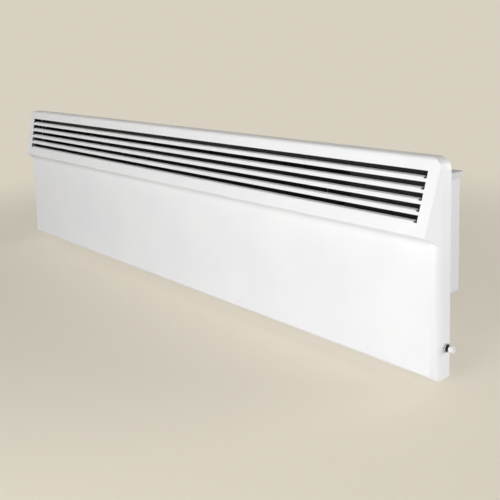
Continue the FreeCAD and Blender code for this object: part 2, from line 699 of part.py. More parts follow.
def wall_bracket():
    """Folded bracket: a base on the wall and two arms with hooks."""
    half_height = BRACKET_HEIGHT / 2
    arm_front = CASING_BACK + SEAT_GAP
    base = box((-ARM_X, -BRACKET_SHEET, -half_height), (ARM_X, 0, half_height))
    corners = [(0, -half_height, 0), (arm_front, -half_height, ARM_CORNER)]
    for foot in HOOK_FOOTS:
        corners += hook_corners(foot)
    corners += [(arm_front, half_height, ARM_CORNER), (0, half_height, 0)]
    arms = [
        outline(corners, in_side_view(x)).extrude(Vector(BRACKET_SHEET, 0, 0))
        for x in (-ARM_X, ARM_X - BRACKET_SHEET)
    ]
    folded = base.fuse(arms).removeSplitter()
    for x, y, radius in (
        (ARM_X, 0, BRACKET_BEND + BRACKET_SHEET),
        (ARM_X - BRACKET_SHEET, -BRACKET_SHEET, BRACKET_BEND),
    ):
        edges = [
            edge
            for edge in folded.Edges
            if abs(abs(edge.BoundBox.Center.x) - x) < HOLE_GAP
            and abs(edge.BoundBox.Center.y - y) < HOLE_GAP
            and edge.BoundBox.ZLength > half_height
        ]
        folded = folded.makeFillet(radius, edges)
    half_x, half_z = WALL_SLOT_SPACING_X / 2, WALL_SLOT_SPACING_Z / 2
    cuts = [wall_slot(x, z) for x in (-half_x, half_x) for z in (-half_z, half_z)]
    cuts += [bracket_window(BRACKET_WINDOW_SPACING / 2 * side) for side in (-1, 1)]
    return folded.cut(cuts)


# Warm-air duct


def inner_shield():
    """Sheet across the tray's lower front, up over the control end, with a lip under the louvres."""
    bottom = CASING_BOTTOM - BOTTOM_TURN + PIECE_SPACING
    ear_left = CONTROL_LEFT - PARTITION_FOOT
    ear_top = CASING_TOP + (PANEL_ABOVE_CASING - HEM_WIDTH) / 2
    corners = [
        (-SHIELD_END, bottom, 0),
        (SHIELD_END, bottom, 0),
        (SHIELD_END, ear_top, SHIELD_MARGIN),
        (ear_left, ear_top, SHIELD_MARGIN),
        (ear_left, SHIELD_TOP, 0),
        (-SHIELD_END, SHIELD_TOP, 0),
    ]
    plate = outline(corners, in_front_view(SHIELD_FRONT)).extrude(Vector(0, SHIELD_SHEET, 0))
    lip = box(
        (-CASING_END, SHIELD_FRONT - SHIELD_LIP, SHIELD_TOP - SHIELD_SHEET),
        (ear_left - SHIELD_LIP_END_GAP, CASING_FRONT, SHIELD_TOP),
    )
    holes = [screw_hole((x, CASING_FRONT, z), (0, 1, 0)) for x, z in shield_screw_places()]
    return plate.fuse(lip).removeSplitter().cut(holes)


def shield_screws():
    """Screws from the front through the shield into the casing's flange."""
    grip = SHIELD_SHEET + CASING_SHEET
    screws = [screw((x, SHIELD_FRONT, z), (0, 1, 0), grip) for x, z in shield_screw_places()]
    return Part.makeCompound(screws)


def air_deflector():
    """Curved sheet in the tray's upper back corner that turns the warm air to the louvres."""
    sheet = DEFLECTOR_SHEET
    wall, roof = CASING_INNER_BACK, CASING_CEILING
    low_z, front_y = roof - DEFLECTOR_DROP, wall - DEFLECTOR_RUN
    corners = [
        (wall, low_z - DEFLECTOR_FOOT, 0),
        (wall, low_z, DEFLECTOR_BEND),
        (front_y, roof, DEFLECTOR_BEND),
        (front_y - DEFLECTOR_FOOT, roof, 0),
        (front_y - DEFLECTOR_FOOT, roof - sheet, 0),
        (front_y, roof - sheet, DEFLECTOR_BEND),
        (wall - sheet, low_z - sheet, DEFLECTOR_BEND),
        (wall - sheet, low_z - DEFLECTOR_FOOT, 0),
    ]
    start, end = DUCT_LEFT + CASING_RADIUS, DUCT_RIGHT - SEAT_GAP
    return outline(corners, in_side_view(start)).extrude(Vector(end - start, 0, 0))


def partition_rivet_holes():
    """Holes in the partition's foot for its rivets."""
    x = CONTROL_LEFT + PARTITION_FOOT / 2
    half = PARTITION_RIVET_SPACING / 2
    return [screw_hole((x, CASING_INNER_BACK, z), (0, 1, 0)) for z in (-half, half)]


def grommet_y():
    """Middle of the two leads that pass through the partition."""
    return (POLE_Y[2] + ELEMENT_LEAD_Y) / 2


def heat_partition():
    """Plate between the duct and the control end, riveted to the tray's back by its foot."""
    bottom, top = CASING_FLOOR + SEAT_GAP, CASING_CEILING - SEAT_GAP
    rounded = CASING_RADIUS
    corners = [
        (CASING_FRONT, bottom, 0),
        (CASING_INNER_BACK, bottom, rounded),
        (CASING_INNER_BACK, top, rounded),
        (CASING_FRONT, top, 0),
    ]
    plate = outline(corners, in_side_view(DUCT_RIGHT)).extrude(Vector(PARTITION_SHEET, 0, 0))
    foot = box(
        (CONTROL_LEFT, CASING_INNER_BACK - PARTITION_SHEET, bottom + rounded),
        (CONTROL_LEFT + PARTITION_FOOT, CASING_INNER_BACK, top - rounded),
    )
    left, right = DUCT_RIGHT - CUT_OVERRUN, CONTROL_LEFT + CUT_OVERRUN
    holes = [
        rod(CUTOUT_NECK_RADIUS + HOLE_GAP, (left, ELEMENT_Y, CUTOUT_Z), (right, ELEMENT_Y, CUTOUT_Z)),
        rod(GROMMET_RADIUS - GROMMET_GROOVE, (left, grommet_y(), LEAD_Z), (right, grommet_y(), LEAD_Z)),
    ]
    return plate.fuse(foot).removeSplitter().cut(holes + partition_rivet_holes())


def wire_grommet():
    """Rubber ring in the partition's hole, with a groove for the sheet."""
    middle = (DUCT_RIGHT + CONTROL_LEFT) / 2
    left, right = middle - GROMMET_THICKNESS / 2, middle + GROMMET_THICKNESS / 2
    y = grommet_y()
    body = ring(GROMMET_RADIUS, GROMMET_BORE, (left, y, LEAD_Z), (right, y, LEAD_Z))
    neck = GROMMET_RADIUS - GROMMET_GROOVE - HOLE_GAP
    groove = ring(
        GROMMET_RADIUS + CUT_OVERRUN,
        neck,
        (DUCT_RIGHT - HOLE_GAP, y, LEAD_Z),
        (CONTROL_LEFT + HOLE_GAP, y, LEAD_Z),
    )
    return body.cut(groove)


# Heating element


def element_bracket_face():
    """Distance from the element's middle to the inner face of each bracket."""
    return ELEMENT_LENGTH / 2 + EXPANSION_GAP + BUSH_COLLAR


def fin(angle, reach):
    """One fin of the element with ribs across it, turned by angle about the element's axis."""
    left = ELEMENT_X - ELEMENT_LENGTH / 2
    half = ELEMENT_FIN_SHEET / 2
    web_low = (left, ELEMENT_Y, ELEMENT_Z - half)
    plates = [box(web_low, (ELEMENT_RIGHT, ELEMENT_Y + reach, ELEMENT_Z + half))]
    step = (reach - ELEMENT_HUB_RADIUS) / ELEMENT_RIB_COUNT
    for index in range(ELEMENT_RIB_COUNT):
        outer = ELEMENT_Y + reach - step * index
        low = (left, outer - ELEMENT_FIN_SHEET, ELEMENT_Z - ELEMENT_RIB / 2)
        plates.append(box(low, (ELEMENT_RIGHT, outer, ELEMENT_Z + ELEMENT_RIB / 2)))
    whole = plates[0].fuse(plates[1:])
    whole.rotate(Vector(0, ELEMENT_Y, ELEMENT_Z), Vector(1, 0, 0), angle)
    return whole


def element_fins():
    """Aluminium extrusion: a hub round the sheath and four ribbed fins in an X."""
    left = ELEMENT_X - ELEMENT_LENGTH / 2
    axis = ((left, ELEMENT_Y, ELEMENT_Z), (ELEMENT_RIGHT, ELEMENT_Y, ELEMENT_Z))
    reach = math.hypot(ELEMENT_FIN_WIDTH, ELEMENT_FIN_HEIGHT)
    lean = math.degrees(math.atan2(ELEMENT_FIN_HEIGHT, ELEMENT_FIN_WIDTH))
    fins = [fin(angle, reach) for angle in (lean, 180 - lean, 180 + lean, -lean)]
    body = rod(ELEMENT_HUB_RADIUS, *axis).fuse(fins)
    return body.cut(rod(SHEATH_RADIUS + HOLE_GAP, *axis)).removeSplitter()


def element_sheath():
    """Steel tube through the fins, with seats for the two terminal pins at its right end."""
    reach = ELEMENT_LENGTH / 2 + SHEATH_STUB
    start, end = (ELEMENT_X - reach, ELEMENT_Y, ELEMENT_Z), (ELEMENT_X + reach, ELEMENT_Y, ELEMENT_Z)
    seats = [
        rod(PIN_RADIUS + HOLE_GAP, (end[0] - SHEATH_STUB / 2, y, ELEMENT_Z), (end[0], y, ELEMENT_Z))
        for y in pin_places()
    ]
    return rod(SHEATH_RADIUS, start, end).cut(seats)


def pin_places():
    """The two terminal pins' places across the element, as y."""
    return (ELEMENT_Y - PIN_SPACING / 2, ELEMENT_Y + PIN_SPACING / 2)


def element_pins():
    """Two terminal pins at the element's right end."""
    start = ELEMENT_RIGHT + SHEATH_STUB / 2
    pins = [rod(PIN_RADIUS, (start, y, ELEMENT_Z), (PIN_END, y, ELEMENT_Z)) for y in pin_places()]
    return Part.makeCompound(pins)


def element_bushes():
    """Ceramic bushes that carry the sheath in both brackets."""
    face = element_bracket_face()
    bushes = []
    for side in (-1, 1):
        stops = (face - BUSH_COLLAR, face, face + ELEMENT_BRACKET_SHEET + BUSH_TAIL)
        collar, seat, tail = [(ELEMENT_X + side * stop, ELEMENT_Y, ELEMENT_Z) for stop in stops]
        body = rod(BUSH_COLLAR_RADIUS, collar, seat).fuse(rod(BUSH_RADIUS, seat, tail))
        bushes.append(body.cut(rod(SHEATH_RADIUS + HOLE_GAP, collar, tail)).removeSplitter())
    return Part.makeCompound(bushes)


def element_bracket(side):
    """Angle bracket on the tray's back that holds one end of the element."""
    face = ELEMENT_X + side * element_bracket_face()
    outer = face + side * ELEMENT_BRACKET_SHEET
    toe = face + side * ELEMENT_BRACKET_FOOT
    half = ELEMENT_BRACKET_WIDTH / 2
    low_z, high_z = ELEMENT_Z - half, ELEMENT_Z + half
    front = ELEMENT_Y - ELEMENT_BRACKET_REACH
    corners = rectangle((front, low_z), (CASING_INNER_BACK, high_z), 0)
    corners = [(y, z, ELEMENT_BRACKET_CORNER if y == front else 0) for y, z, _ in corners]
    plate = outline(corners, in_side_view(min(face, outer)))
    plate = plate.extrude(Vector(ELEMENT_BRACKET_SHEET, 0, 0))
    foot = box(
        (min(face, toe), CASING_INNER_BACK - ELEMENT_BRACKET_SHEET, low_z),
        (max(face, toe), CASING_INNER_BACK, high_z),
    )
    reach = ELEMENT_BRACKET_SHEET + CUT_OVERRUN
    bush = ((face - reach, ELEMENT_Y, ELEMENT_Z), (face + reach, ELEMENT_Y, ELEMENT_Z))
    holes = [rod(BUSH_RADIUS + HOLE_GAP, *bush)]
    rivet_x = ELEMENT_X + side * (element_bracket_face() + ELEMENT_BRACKET_FOOT / 2)
    for z in (low_z + RIVET_INSET, high_z - RIVET_INSET):
        holes.append(screw_hole((rivet_x, CASING_INNER_BACK, z), (0, 1, 0)))
    return plate.fuse(foot).removeSplitter().cut(holes)


# Wiring and terminals


def thermal_cutout():
    """Overheat limiter in the partition: body in the duct, blades on the control side."""
    neck = CONTROL_LEFT + PIECE_SPACING
    stops = (DUCT_RIGHT - CUTOUT_BODY_LENGTH, DUCT_RIGHT, neck)
    end, seat, root = [(x, ELEMENT_Y, CUTOUT_Z) for x in stops]
    body = rod(CUTOUT_BODY_RADIUS, end, seat)
    stem = rod(CUTOUT_NECK_RADIUS, seat, root)
    blades = []
    for y in blade_places():
        low = (neck, y - BLADE_SHEET / 2, CUTOUT_Z - BLADE_WIDTH / 2)
        blades.append(box(low, (BLADE_END, y + BLADE_SHEET / 2, CUTOUT_Z + BLADE_WIDTH / 2)))
    return body.fuse([stem] + blades).removeSplitter()


def blade_places():
    """The limiter's two blades, as y."""
    return (ELEMENT_Y - BLADE_SPACING / 2, ELEMENT_Y + BLADE_SPACING / 2)


def terminal_block():
    """Three-pole block on the tray's floor, with wire entries at both ends and screws on top."""
    half = POLE_PITCH * len(POLE_Y) / 2
    low = (TERMINAL_LEFT, CASING_MIDDLE_Y - half, CASING_FLOOR)
    high = (TERMINAL_RIGHT, CASING_MIDDLE_Y + half, TERMINAL_TOP)
    block = box(low, high)
    edges = [edge for edge in block.Edges if edge.BoundBox.ZMin > CASING_FLOOR]
    block = block.makeFillet(TERMINAL_EDGE, edges)
    screw_x = TERMINAL_RIGHT - POLE_SCREW_INSET
    holes = []
    for y in POLE_Y:
        entry_end = (TERMINAL_RIGHT - WIRE_ENTRY, y, LEAD_Z)
        holes.append(rod(LEAD_RADIUS + SEAT_GAP, entry_end, (TERMINAL_RIGHT, y, LEAD_Z)))
        screw_low = (screw_x, y, TERMINAL_TOP - SCREW_HEAD)
        holes.append(rod(SCREW_RADIUS, screw_low, (screw_x, y, TERMINAL_TOP)))
    return block.cut(holes)


def neutral_lead():
    """From the terminal block through the grommet to the element's rear pin."""
    y = POLE_Y[2]
    pin = pin_places()[1]
    route = [
        (TERMINAL_LEFT, y, LEAD_Z),
        (NEUTRAL_RISER_X, y, LEAD_Z),
        (NEUTRAL_RISER_X, pin, ELEMENT_Z),
        (PIN_END, pin, ELEMENT_Z),
    ]
    return lead(route, LEAD_RADIUS, LEAD_BEND)


def live_lead():
    """From the terminal block up to the overheat limiter."""
    blade = blade_places()[1]
    route = [
        (TERMINAL_LEFT, POLE_Y[0], LEAD_Z),
        (LIVE_RISER_X, POLE_Y[0], LEAD_Z),
        (LIVE_RISER_X, blade, CUTOUT_Z),
        (BLADE_END, blade, CUTOUT_Z),
    ]
    return lead(route, LEAD_RADIUS, LEAD_BEND)


def element_lead():
    """From the overheat limiter down through the grommet to the element's front pin."""
    blade = blade_places()[0]
    pin = pin_places()[0]
    route = [
        (BLADE_END, blade, CUTOUT_Z),
        (DROP_X, blade, CUTOUT_Z),
        (DROP_X, ELEMENT_LEAD_Y, LEAD_Z),
        (ELEMENT_RISER_X, ELEMENT_LEAD_Y, LEAD_Z),
        (ELEMENT_RISER_X, pin, ELEMENT_Z),
        (PIN_END, pin, ELEMENT_Z),
    ]
    return lead(route, LEAD_RADIUS, LEAD_BEND)


def earth_stud():
    """Stud and nut on the tray's back for the earth lead."""
    x, z = earth_place()
    end = CASING_INNER_BACK - EARTH_STUD_LENGTH
    stud = rod(EARTH_STUD_RADIUS, (x, CASING_INNER_BACK, z), (x, end, z))
    nut = ring(
        EARTH_NUT_RADIUS,
        EARTH_STUD_RADIUS + HOLE_GAP,
        (x, CASING_INNER_BACK, z),
        (x, CASING_INNER_BACK - EARTH_NUT, z),
    )
    return Part.makeCompound([stud, nut])


def earth_place():
    """The earth stud's place on the tray's back, as (x, z)."""
    return TERMINAL_RIGHT - TERMINAL_LENGTH / 2, TERMINAL_TOP + EARTH_STUD_HEIGHT


def earth_lead():
    """From the terminal block's top to the earth stud."""
    x, z = earth_place()
    route = [
        (x, CASING_MIDDLE_Y, TERMINAL_TOP),
        (x, CASING_MIDDLE_Y, z),
        (x, CASING_INNER_BACK - EARTH_STUD_LENGTH, z),
    ]
    return lead(route, LEAD_RADIUS, LEAD_BEND)


def cable_gland():
    """Mains inlet through the tray's floor: collar and tail below, thread above."""
    y = CASING_MIDDLE_Y
    levels = (CASING_BOTTOM - GLAND_COLLAR - GLAND_TAIL, CASING_BOTTOM - GLAND_COLLAR, CASING_BOTTOM)
    bottom, under, seat = [(GLAND_X, y, level) for level in levels]
    top = (GLAND_X, y, CASING_FLOOR + GLAND_THREAD)
    tip_radius = GLAND_BORE + GLAND_TIP_WALL
    tail = Part.makeCone(tip_radius, GLAND_RADIUS, GLAND_TAIL, Vector(*bottom), Vector(0, 0, 1))
    body = tail.fuse([rod(GLAND_SIDE, under, seat), rod(GLAND_RADIUS, seat, top)])
    return body.cut(rod(GLAND_BORE, bottom, top)).removeSplitter()


def gland_nut():
    """Six-sided nut that clamps the gland to the tray's floor."""
    y = CASING_MIDDLE_Y
    corners = []
    for index in range(GLAND_NUT_SIDES):
        angle = 2 * math.pi * (index + 0.5) / GLAND_NUT_SIDES
        corners.append((GLAND_X + GLAND_SIDE * math.cos(angle), y + GLAND_SIDE * math.sin(angle), 0))
    body = outline(corners, in_plan_view(CASING_FLOOR)).extrude(Vector(0, 0, GLAND_NUT))
    ends = [(GLAND_X, y, level) for level in (CASING_FLOOR, CASING_FLOOR + GLAND_NUT)]
    return body.cut(rod(GLAND_RADIUS + HOLE_GAP, *ends))


def room_sensor():
    """Temperature probe that hangs below the tray's floor in the incoming air."""
    levels = (CASING_BOTTOM - SENSOR_LENGTH, CASING_FLOOR, CASING_FLOOR + SENSOR_COLLAR)
    low, floor, high = [(SENSOR_X, SENSOR_Y, level) for level in levels]
    probe = rod(SENSOR_RADIUS, low, high)
    tip = [edge for edge in probe.Edges if edge.BoundBox.ZMax < CASING_BOTTOM]
    probe = probe.makeFillet(SENSOR_TIP_RADIUS, tip)
    return probe.fuse(rod(SENSOR_RADIUS + SENSOR_COLLAR, floor, high)).removeSplitter()


# Control unit


def control_cover():
    """Moulded cover on the tray's top with an overhanging end lip, a skirt, bosses and openings."""
    low = (CONTROL_LEFT, FLANGE_BACK + SEAT_GAP, CASING_TOP)
    high = (CASING_END + COVER_OVERHANG, CASING_BACK + COVER_OVERHANG, COVER_TOP)
    plate = box(low, high)
    plate = plate.makeFillet(COVER_CORNER, [e for e in plate.Edges if e.BoundBox.ZLength > COVER_EDGE])
    plate = plate.makeFillet(COVER_EDGE, [e for e in plate.Edges if e.BoundBox.ZMin > CASING_TOP])
    lip = box(
        (CASING_END + HOLE_GAP, low[1] + COVER_CORNER, CASING_TOP - COVER_LIP),
        (high[0], high[1] - COVER_CORNER, CASING_TOP),
    )
    skirt_low = [value + SEAT_GAP for value in CUTOUT_LOW]
    skirt_high = [value - SEAT_GAP for value in CUTOUT_HIGH]
    skirt = box((*skirt_low, CASING_TOP - SKIRT_DEPTH), (*skirt_high, CASING_TOP))
    inside_low = [value + SKIRT_WALL for value in skirt_low]
    inside_high = [value - SKIRT_WALL for value in skirt_high]
    skirt = skirt.cut(box((*inside_low, CASING_TOP - SKIRT_DEPTH), (*inside_high, CASING_TOP)))
    bosses = [rod(BOSS_RADIUS, (x, y, BOARD_TOP), (x, y, CASING_TOP)) for x, y in boss_places()]
    window = window_block(COVER_TOP - WINDOW_THICKNESS, COVER_TOP + CUT_OVERRUN, SEAT_GAP / 2)
    sight = window_block(CASING_TOP - CUT_OVERRUN, COVER_TOP, -WINDOW_REBATE)
    cuts = [window, sight]
    for x in BUTTON_X:
        levels = (CASING_TOP - CUT_OVERRUN, COVER_TOP + CUT_OVERRUN)
        cuts.append(rod(BUTTON_RADIUS + SLIDE_GAP, *((x, BOARD_MIDDLE_Y, level) for level in levels)))
    for x, y in boss_places():
        cuts.append(rod(SCREW_RADIUS + HOLE_GAP, (x, y, BOARD_TOP), (x, y, CASING_TOP)))
    return plate.fuse([lip, skirt] + bosses).removeSplitter().cut(cuts)


def boss_places():
    """The four bosses that carry the circuit board, as (x, y)."""
    return [
        (x, y)
        for x in (BOARD_LOW[0] + BOSS_INSET, BOARD_HIGH[0] - BOSS_INSET)
        for y in (BOARD_LOW[1] + BOSS_INSET, BOARD_HIGH[1] - BOSS_INSET)
    ]


def window_block(bottom, top, grow):
    """Block with the display window's outline, grown all round."""
    half_length, half_width = WINDOW_LENGTH / 2 + grow, WINDOW_WIDTH / 2 + grow
    corners = rectangle(
        (WINDOW_X - half_length, BOARD_MIDDLE_Y - half_width),
        (WINDOW_X + half_length, BOARD_MIDDLE_Y + half_width),
        WINDOW_REBATE + max(grow, 0),
    )
    return outline(corners, in_plan_view(bottom)).extrude(Vector(0, 0, top - bottom))


def display_window():
    """Tinted window in the cover."""
    return window_block(COVER_TOP - WINDOW_THICKNESS, COVER_TOP, 0)


def display_module():
    """Display block on the board, just below the window."""
    return window_block(BOARD_TOP, COVER_TOP - WINDOW_THICKNESS - SEAT_GAP, -WINDOW_REBATE - SEAT_GAP)


def control_board():
    """Circuit board under the cover, drilled for its screws."""
    board = box((*BOARD_LOW, BOARD_BOTTOM), (*BOARD_HIGH, BOARD_TOP))
    radius = SCREW_RADIUS + HOLE_GAP
    holes = [rod(radius, (x, y, BOARD_BOTTOM), (x, y, BOARD_TOP)) for x, y in boss_places()]
    return board.cut(holes)


def board_screws():
    """Screws from below through the board into the cover's bosses."""
    screws = [screw((x, y, BOARD_BOTTOM), (0, 0, 1), BOARD_THICKNESS) for x, y in boss_places()]
    return Part.makeCompound(screws)


def tact_switches():
    """Three small switches on the board, one under each button."""
    half = TACT_SIZE / 2
    y = BOARD_MIDDLE_Y
    top = BOARD_TOP + TACT_HEIGHT
    switches = []
    for x in BUTTON_X:
        body = box((x - half, y - half, BOARD_TOP), (x + half, y + half, top))
        plunger = rod(BUTTON_STEM_RADIUS, (x, y, top), (x, y, top + TACT_PLUNGER))
        switches.append(body.fuse(plunger).removeSplitter())
    return Part.makeCompound(switches)


def control_button(x):
    """Round push button: cap through the cover, collar below it and a stem over its switch."""
    y = BOARD_MIDDLE_Y
    top = COVER_TOP + BUTTON_STAND
    collar_top = CASING_TOP - SEAT_GAP
    collar_low = collar_top - BUTTON_COLLAR_THICKNESS
    stem_low = BOARD_TOP + TACT_HEIGHT + TACT_PLUNGER + BUTTON_TRAVEL + SEAT_GAP
    cap = rod(BUTTON_RADIUS, (x, y, collar_low), (x, y, top))
    rim = [edge for edge in cap.Edges if edge.Closed and edge.BoundBox.ZMin > COVER_TOP]
    cap = cap.makeFillet(BUTTON_CROWN, rim)
    collar = rod(BUTTON_RADIUS + BUTTON_COLLAR, (x, y, collar_low), (x, y, collar_top))
    stem = rod(BUTTON_STEM_RADIUS, (x, y, stem_low), (x, y, collar_low))
    return cap.fuse([collar, stem]).removeSplitter()


def below_board(x, y, size):
    """Component of the given size hung under the board, centred on (x, y)."""
    length, width, height = size
    low = (x - length / 2, y - width / 2, BOARD_BOTTOM - height)
    return box(low, (x + length / 2, y + width / 2, BOARD_BOTTOM))


def connector_places():
    """Connectors under the board for the sensor, the supply and the push switch, as (x, y)."""
    first = BOARD_LOW[0] + CONNECTOR_SIZE[0] / 2 + PIECE_SPACING
    supply = first + CONNECTOR_SIZE[0] + RELAY_SIZE[0] + 2 * PIECE_SPACING
    last = BOARD_HIGH[0] - CONNECTOR_SIZE[0] / 2 - PIECE_SPACING
    return [(first, BOARD_MIDDLE_Y), (supply, BOARD_MIDDLE_Y), (last, BOARD_MIDDLE_Y)]


def board_connectors():
    """Lead connectors under the board."""
    return Part.makeCompound([below_board(x, y, CONNECTOR_SIZE) for x, y in connector_places()])


def power_relay():
    """Relay that switches the element."""
    sensor_x = connector_places()[0][0]
    x = sensor_x + CONNECTOR_SIZE[0] / 2 + RELAY_SIZE[0] / 2 + PIECE_SPACING
    return below_board(x, BOARD_MIDDLE_Y, RELAY_SIZE)


def transformer():
    """Supply transformer of the control board."""
    supply_x = connector_places()[1][0]
    x = supply_x + CONNECTOR_SIZE[0] / 2 + TRANSFORMER_SIZE[0] / 2 + PIECE_SPACING
    return below_board(x, BOARD_MIDDLE_Y, TRANSFORMER_SIZE)


def board_lead():
    """Supply lead from the terminal block up to the board."""
    x, y = connector_places()[1]
    socket = BOARD_BOTTOM - CONNECTOR_SIZE[2]
    start_x, start_y = TERMINAL_LEFT + BOARD_LEAD_INSET, POLE_Y[0] + LEAD_RADIUS
    low, high = [TERMINAL_TOP + level for level in BOARD_LEAD_LEVELS]
    route = [
        (start_x, start_y, TERMINAL_TOP),
        (start_x, start_y, low),
        (x, y, high),
        (x, y, socket),
    ]
    return lead(route, THIN_LEAD_RADIUS, LEAD_BEND)


def riser(foot, connector):
    """Route from a point in the compartment's front up and back to a connector's underside."""
    x, y = connector
    foot_x, foot_y, _ = foot[-1]
    socket = BOARD_BOTTOM - CONNECTOR_SIZE[2]
    turn = socket - LEAD_STRAIGHT - LEAD_BEND
    return foot + [(foot_x, foot_y, turn - abs(foot_y - y)), (x, y, turn), (x, y, socket)]


def switch_lead():
    """From the push switch up through the tray's floor to the board."""
    foot = [
        (SWITCH_INNER_X, SWITCH_Y, SWITCH_Z),
        (GLAND_X, SWITCH_Y, SWITCH_Z),
        (GLAND_X, SENSOR_Y, CASING_BOTTOM - 2 * LEAD_BEND),
    ]
    return lead(riser(foot, connector_places()[2]), LEAD_RADIUS, LEAD_BEND)


def sensor_lead():
    """From the temperature probe up to the board."""
    foot = [(SENSOR_X, SENSOR_Y, CASING_FLOOR + SENSOR_COLLAR)]
    return lead(riser(foot, connector_places()[0]), THIN_LEAD_RADIUS, LEAD_BEND)


# Push switch


def along_switch(x):
    """Point on the push switch's axis."""
    return (x, SWITCH_Y, SWITCH_Z)


def switch_pocket():
    """Inner end of the pocket that the push button's collar travels in."""
    return FLANGE_INNER_X - POWER_BUTTON_COLLAR_THICKNESS - POWER_BUTTON_TRAVEL - 2 * SEAT_GAP


def power_switch():
    """Switch body behind the panel's flange, its bush through it and a pocket for the button."""
    body = rod(SWITCH_BODY_RADIUS, along_switch(SWITCH_INNER_X), along_switch(FLANGE_INNER_X))
    bush = rod(SWITCH_BUSH_RADIUS, along_switch(FLANGE_INNER_X), along_switch(NUT_FACE_X))
    pocket = rod(
        POWER_BUTTON_RADIUS + POWER_BUTTON_COLLAR + SLIDE_GAP,
        along_switch(switch_pocket()),
        along_switch(FLANGE_INNER_X - SEAT_GAP / 2),
    )
    bore = rod(POWER_BUTTON_RADIUS + HOLE_GAP, along_switch(switch_pocket()), along_switch(NUT_FACE_X))
    return body.fuse(bush).removeSplitter().cut([pocket, bore])


def switch_nut():
    """Round nut that holds the switch to the panel's flange."""
    ends = along_switch(HALF_LENGTH), along_switch(NUT_FACE_X)
    nut = ring(SWITCH_NUT_RADIUS, SWITCH_BUSH_RADIUS + HOLE_GAP, *ends)
    between = SWITCH_NUT_RADIUS + SWITCH_BUSH_RADIUS
    front = [edge for edge in nut.Edges if edge.BoundBox.XMin > HALF_LENGTH]
    return nut.makeFillet(SWITCH_NUT_EDGE, [edge for edge in front if edge.BoundBox.ZLength > between])


def power_button():
    """Push button: a cap with a rounded end, its stem and a collar trapped in the switch."""
    collar_end = FLANGE_INNER_X - SEAT_GAP
    collar_start = collar_end - POWER_BUTTON_COLLAR_THICKNESS
    cap_start = NUT_FACE_X + POWER_BUTTON_TRAVEL + SEAT_GAP
    cap_end = cap_start + POWER_CAP_LENGTH
    cap = rod(POWER_CAP_RADIUS, along_switch(cap_start), along_switch(cap_end))
    rim = [edge for edge in cap.Edges if edge.BoundBox.XMin > (cap_start + cap_end) / 2]
    cap = cap.makeFillet(POWER_CAP_CROWN, rim)
    stem = rod(POWER_BUTTON_RADIUS, along_switch(collar_start), along_switch(cap_start))
    collar_ends = along_switch(collar_start), along_switch(collar_end)
    collar = rod(POWER_BUTTON_RADIUS + POWER_BUTTON_COLLAR, *collar_ends)
    return cap.fuse([stem, collar]).removeSplitter()


def pieces():
    """Every node of the heater by name."""
    shapes = {
        "wall_bracket": wall_bracket(),
        "front_panel": front_panel(),
        "rear_casing": rear_casing(),
        "inner_shield": inner_shield(),
        "air_deflector": air_deflector(),
        "heat_partition": heat_partition(),
        "wire_grommet": wire_grommet(),
        "element_fins": element_fins(),
        "element_sheath": element_sheath(),
        "element_pins": element_pins(),
        "element_bushes": element_bushes(),
        "element_bracket_left": element_bracket(-1),
        "element_bracket_right": element_bracket(1),
        "thermal_cutout": thermal_cutout(),
        "terminal_block": terminal_block(),
        "neutral_lead": neutral_lead(),
        "live_lead": live_lead(),
        "element_lead": element_lead(),
        "earth_lead": earth_lead(),
        "earth_stud": earth_stud(),
        "cable_gland": cable_gland(),
        "gland_nut": gland_nut(),
        "room_sensor": room_sensor(),
        "sensor_lead": sensor_lead(),
        "control_cover": control_cover(),
        "display_window": display_window(),
        "display_module": display_module(),
        "control_board": control_board(),
        "tact_switches": tact_switches(),
        "power_relay": power_relay(),
        "transformer": transformer(),
        "board_connectors": board_connectors(),
        "board_lead": board_lead(),
        "switch_lead": switch_lead(),
        "power_switch": power_switch(),
        "switch_nut": switch_nut(),
        "power_button": power_button(),
        "panel_screws": panel_screws(),
        "shield_screws": shield_screws(),
        "board_screws": board_screws(),
        "casing_rivets": casing_rivets(),
    }
    for name, x in zip(("minus_button", "plus_button", "mode_button"), BUTTON_X):
        shapes[name] = control_button(x)
    return shapes


os.makedirs("parts", exist_ok=True)
for node, shape in pieces().items():
    shape.exportStep(f"parts/{node}.step")
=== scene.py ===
"""Finished looks of a low electric panel heater that hangs on a wall just above the floor.

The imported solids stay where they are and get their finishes. Forms that they leave plain are modelled on
them: the soft crease under the panel's lip, recessed screw heads, rivet domes, the knurled switch nut, the
dished power button, the marks on the keys, the display's digits, the gland's grip ribs and the parts under the
control board. Everything is in metres in the part's own frame: +X along the heater to its right end, +Y into
the wall, +Z up.
"""

import json
import logging
import math
from contextlib import contextmanager
from dataclasses import dataclass
from enum import Enum
from typing import Any, Callable, Iterator, Optional, Sequence

import bmesh
import bpy
from mathutils import Matrix, Vector


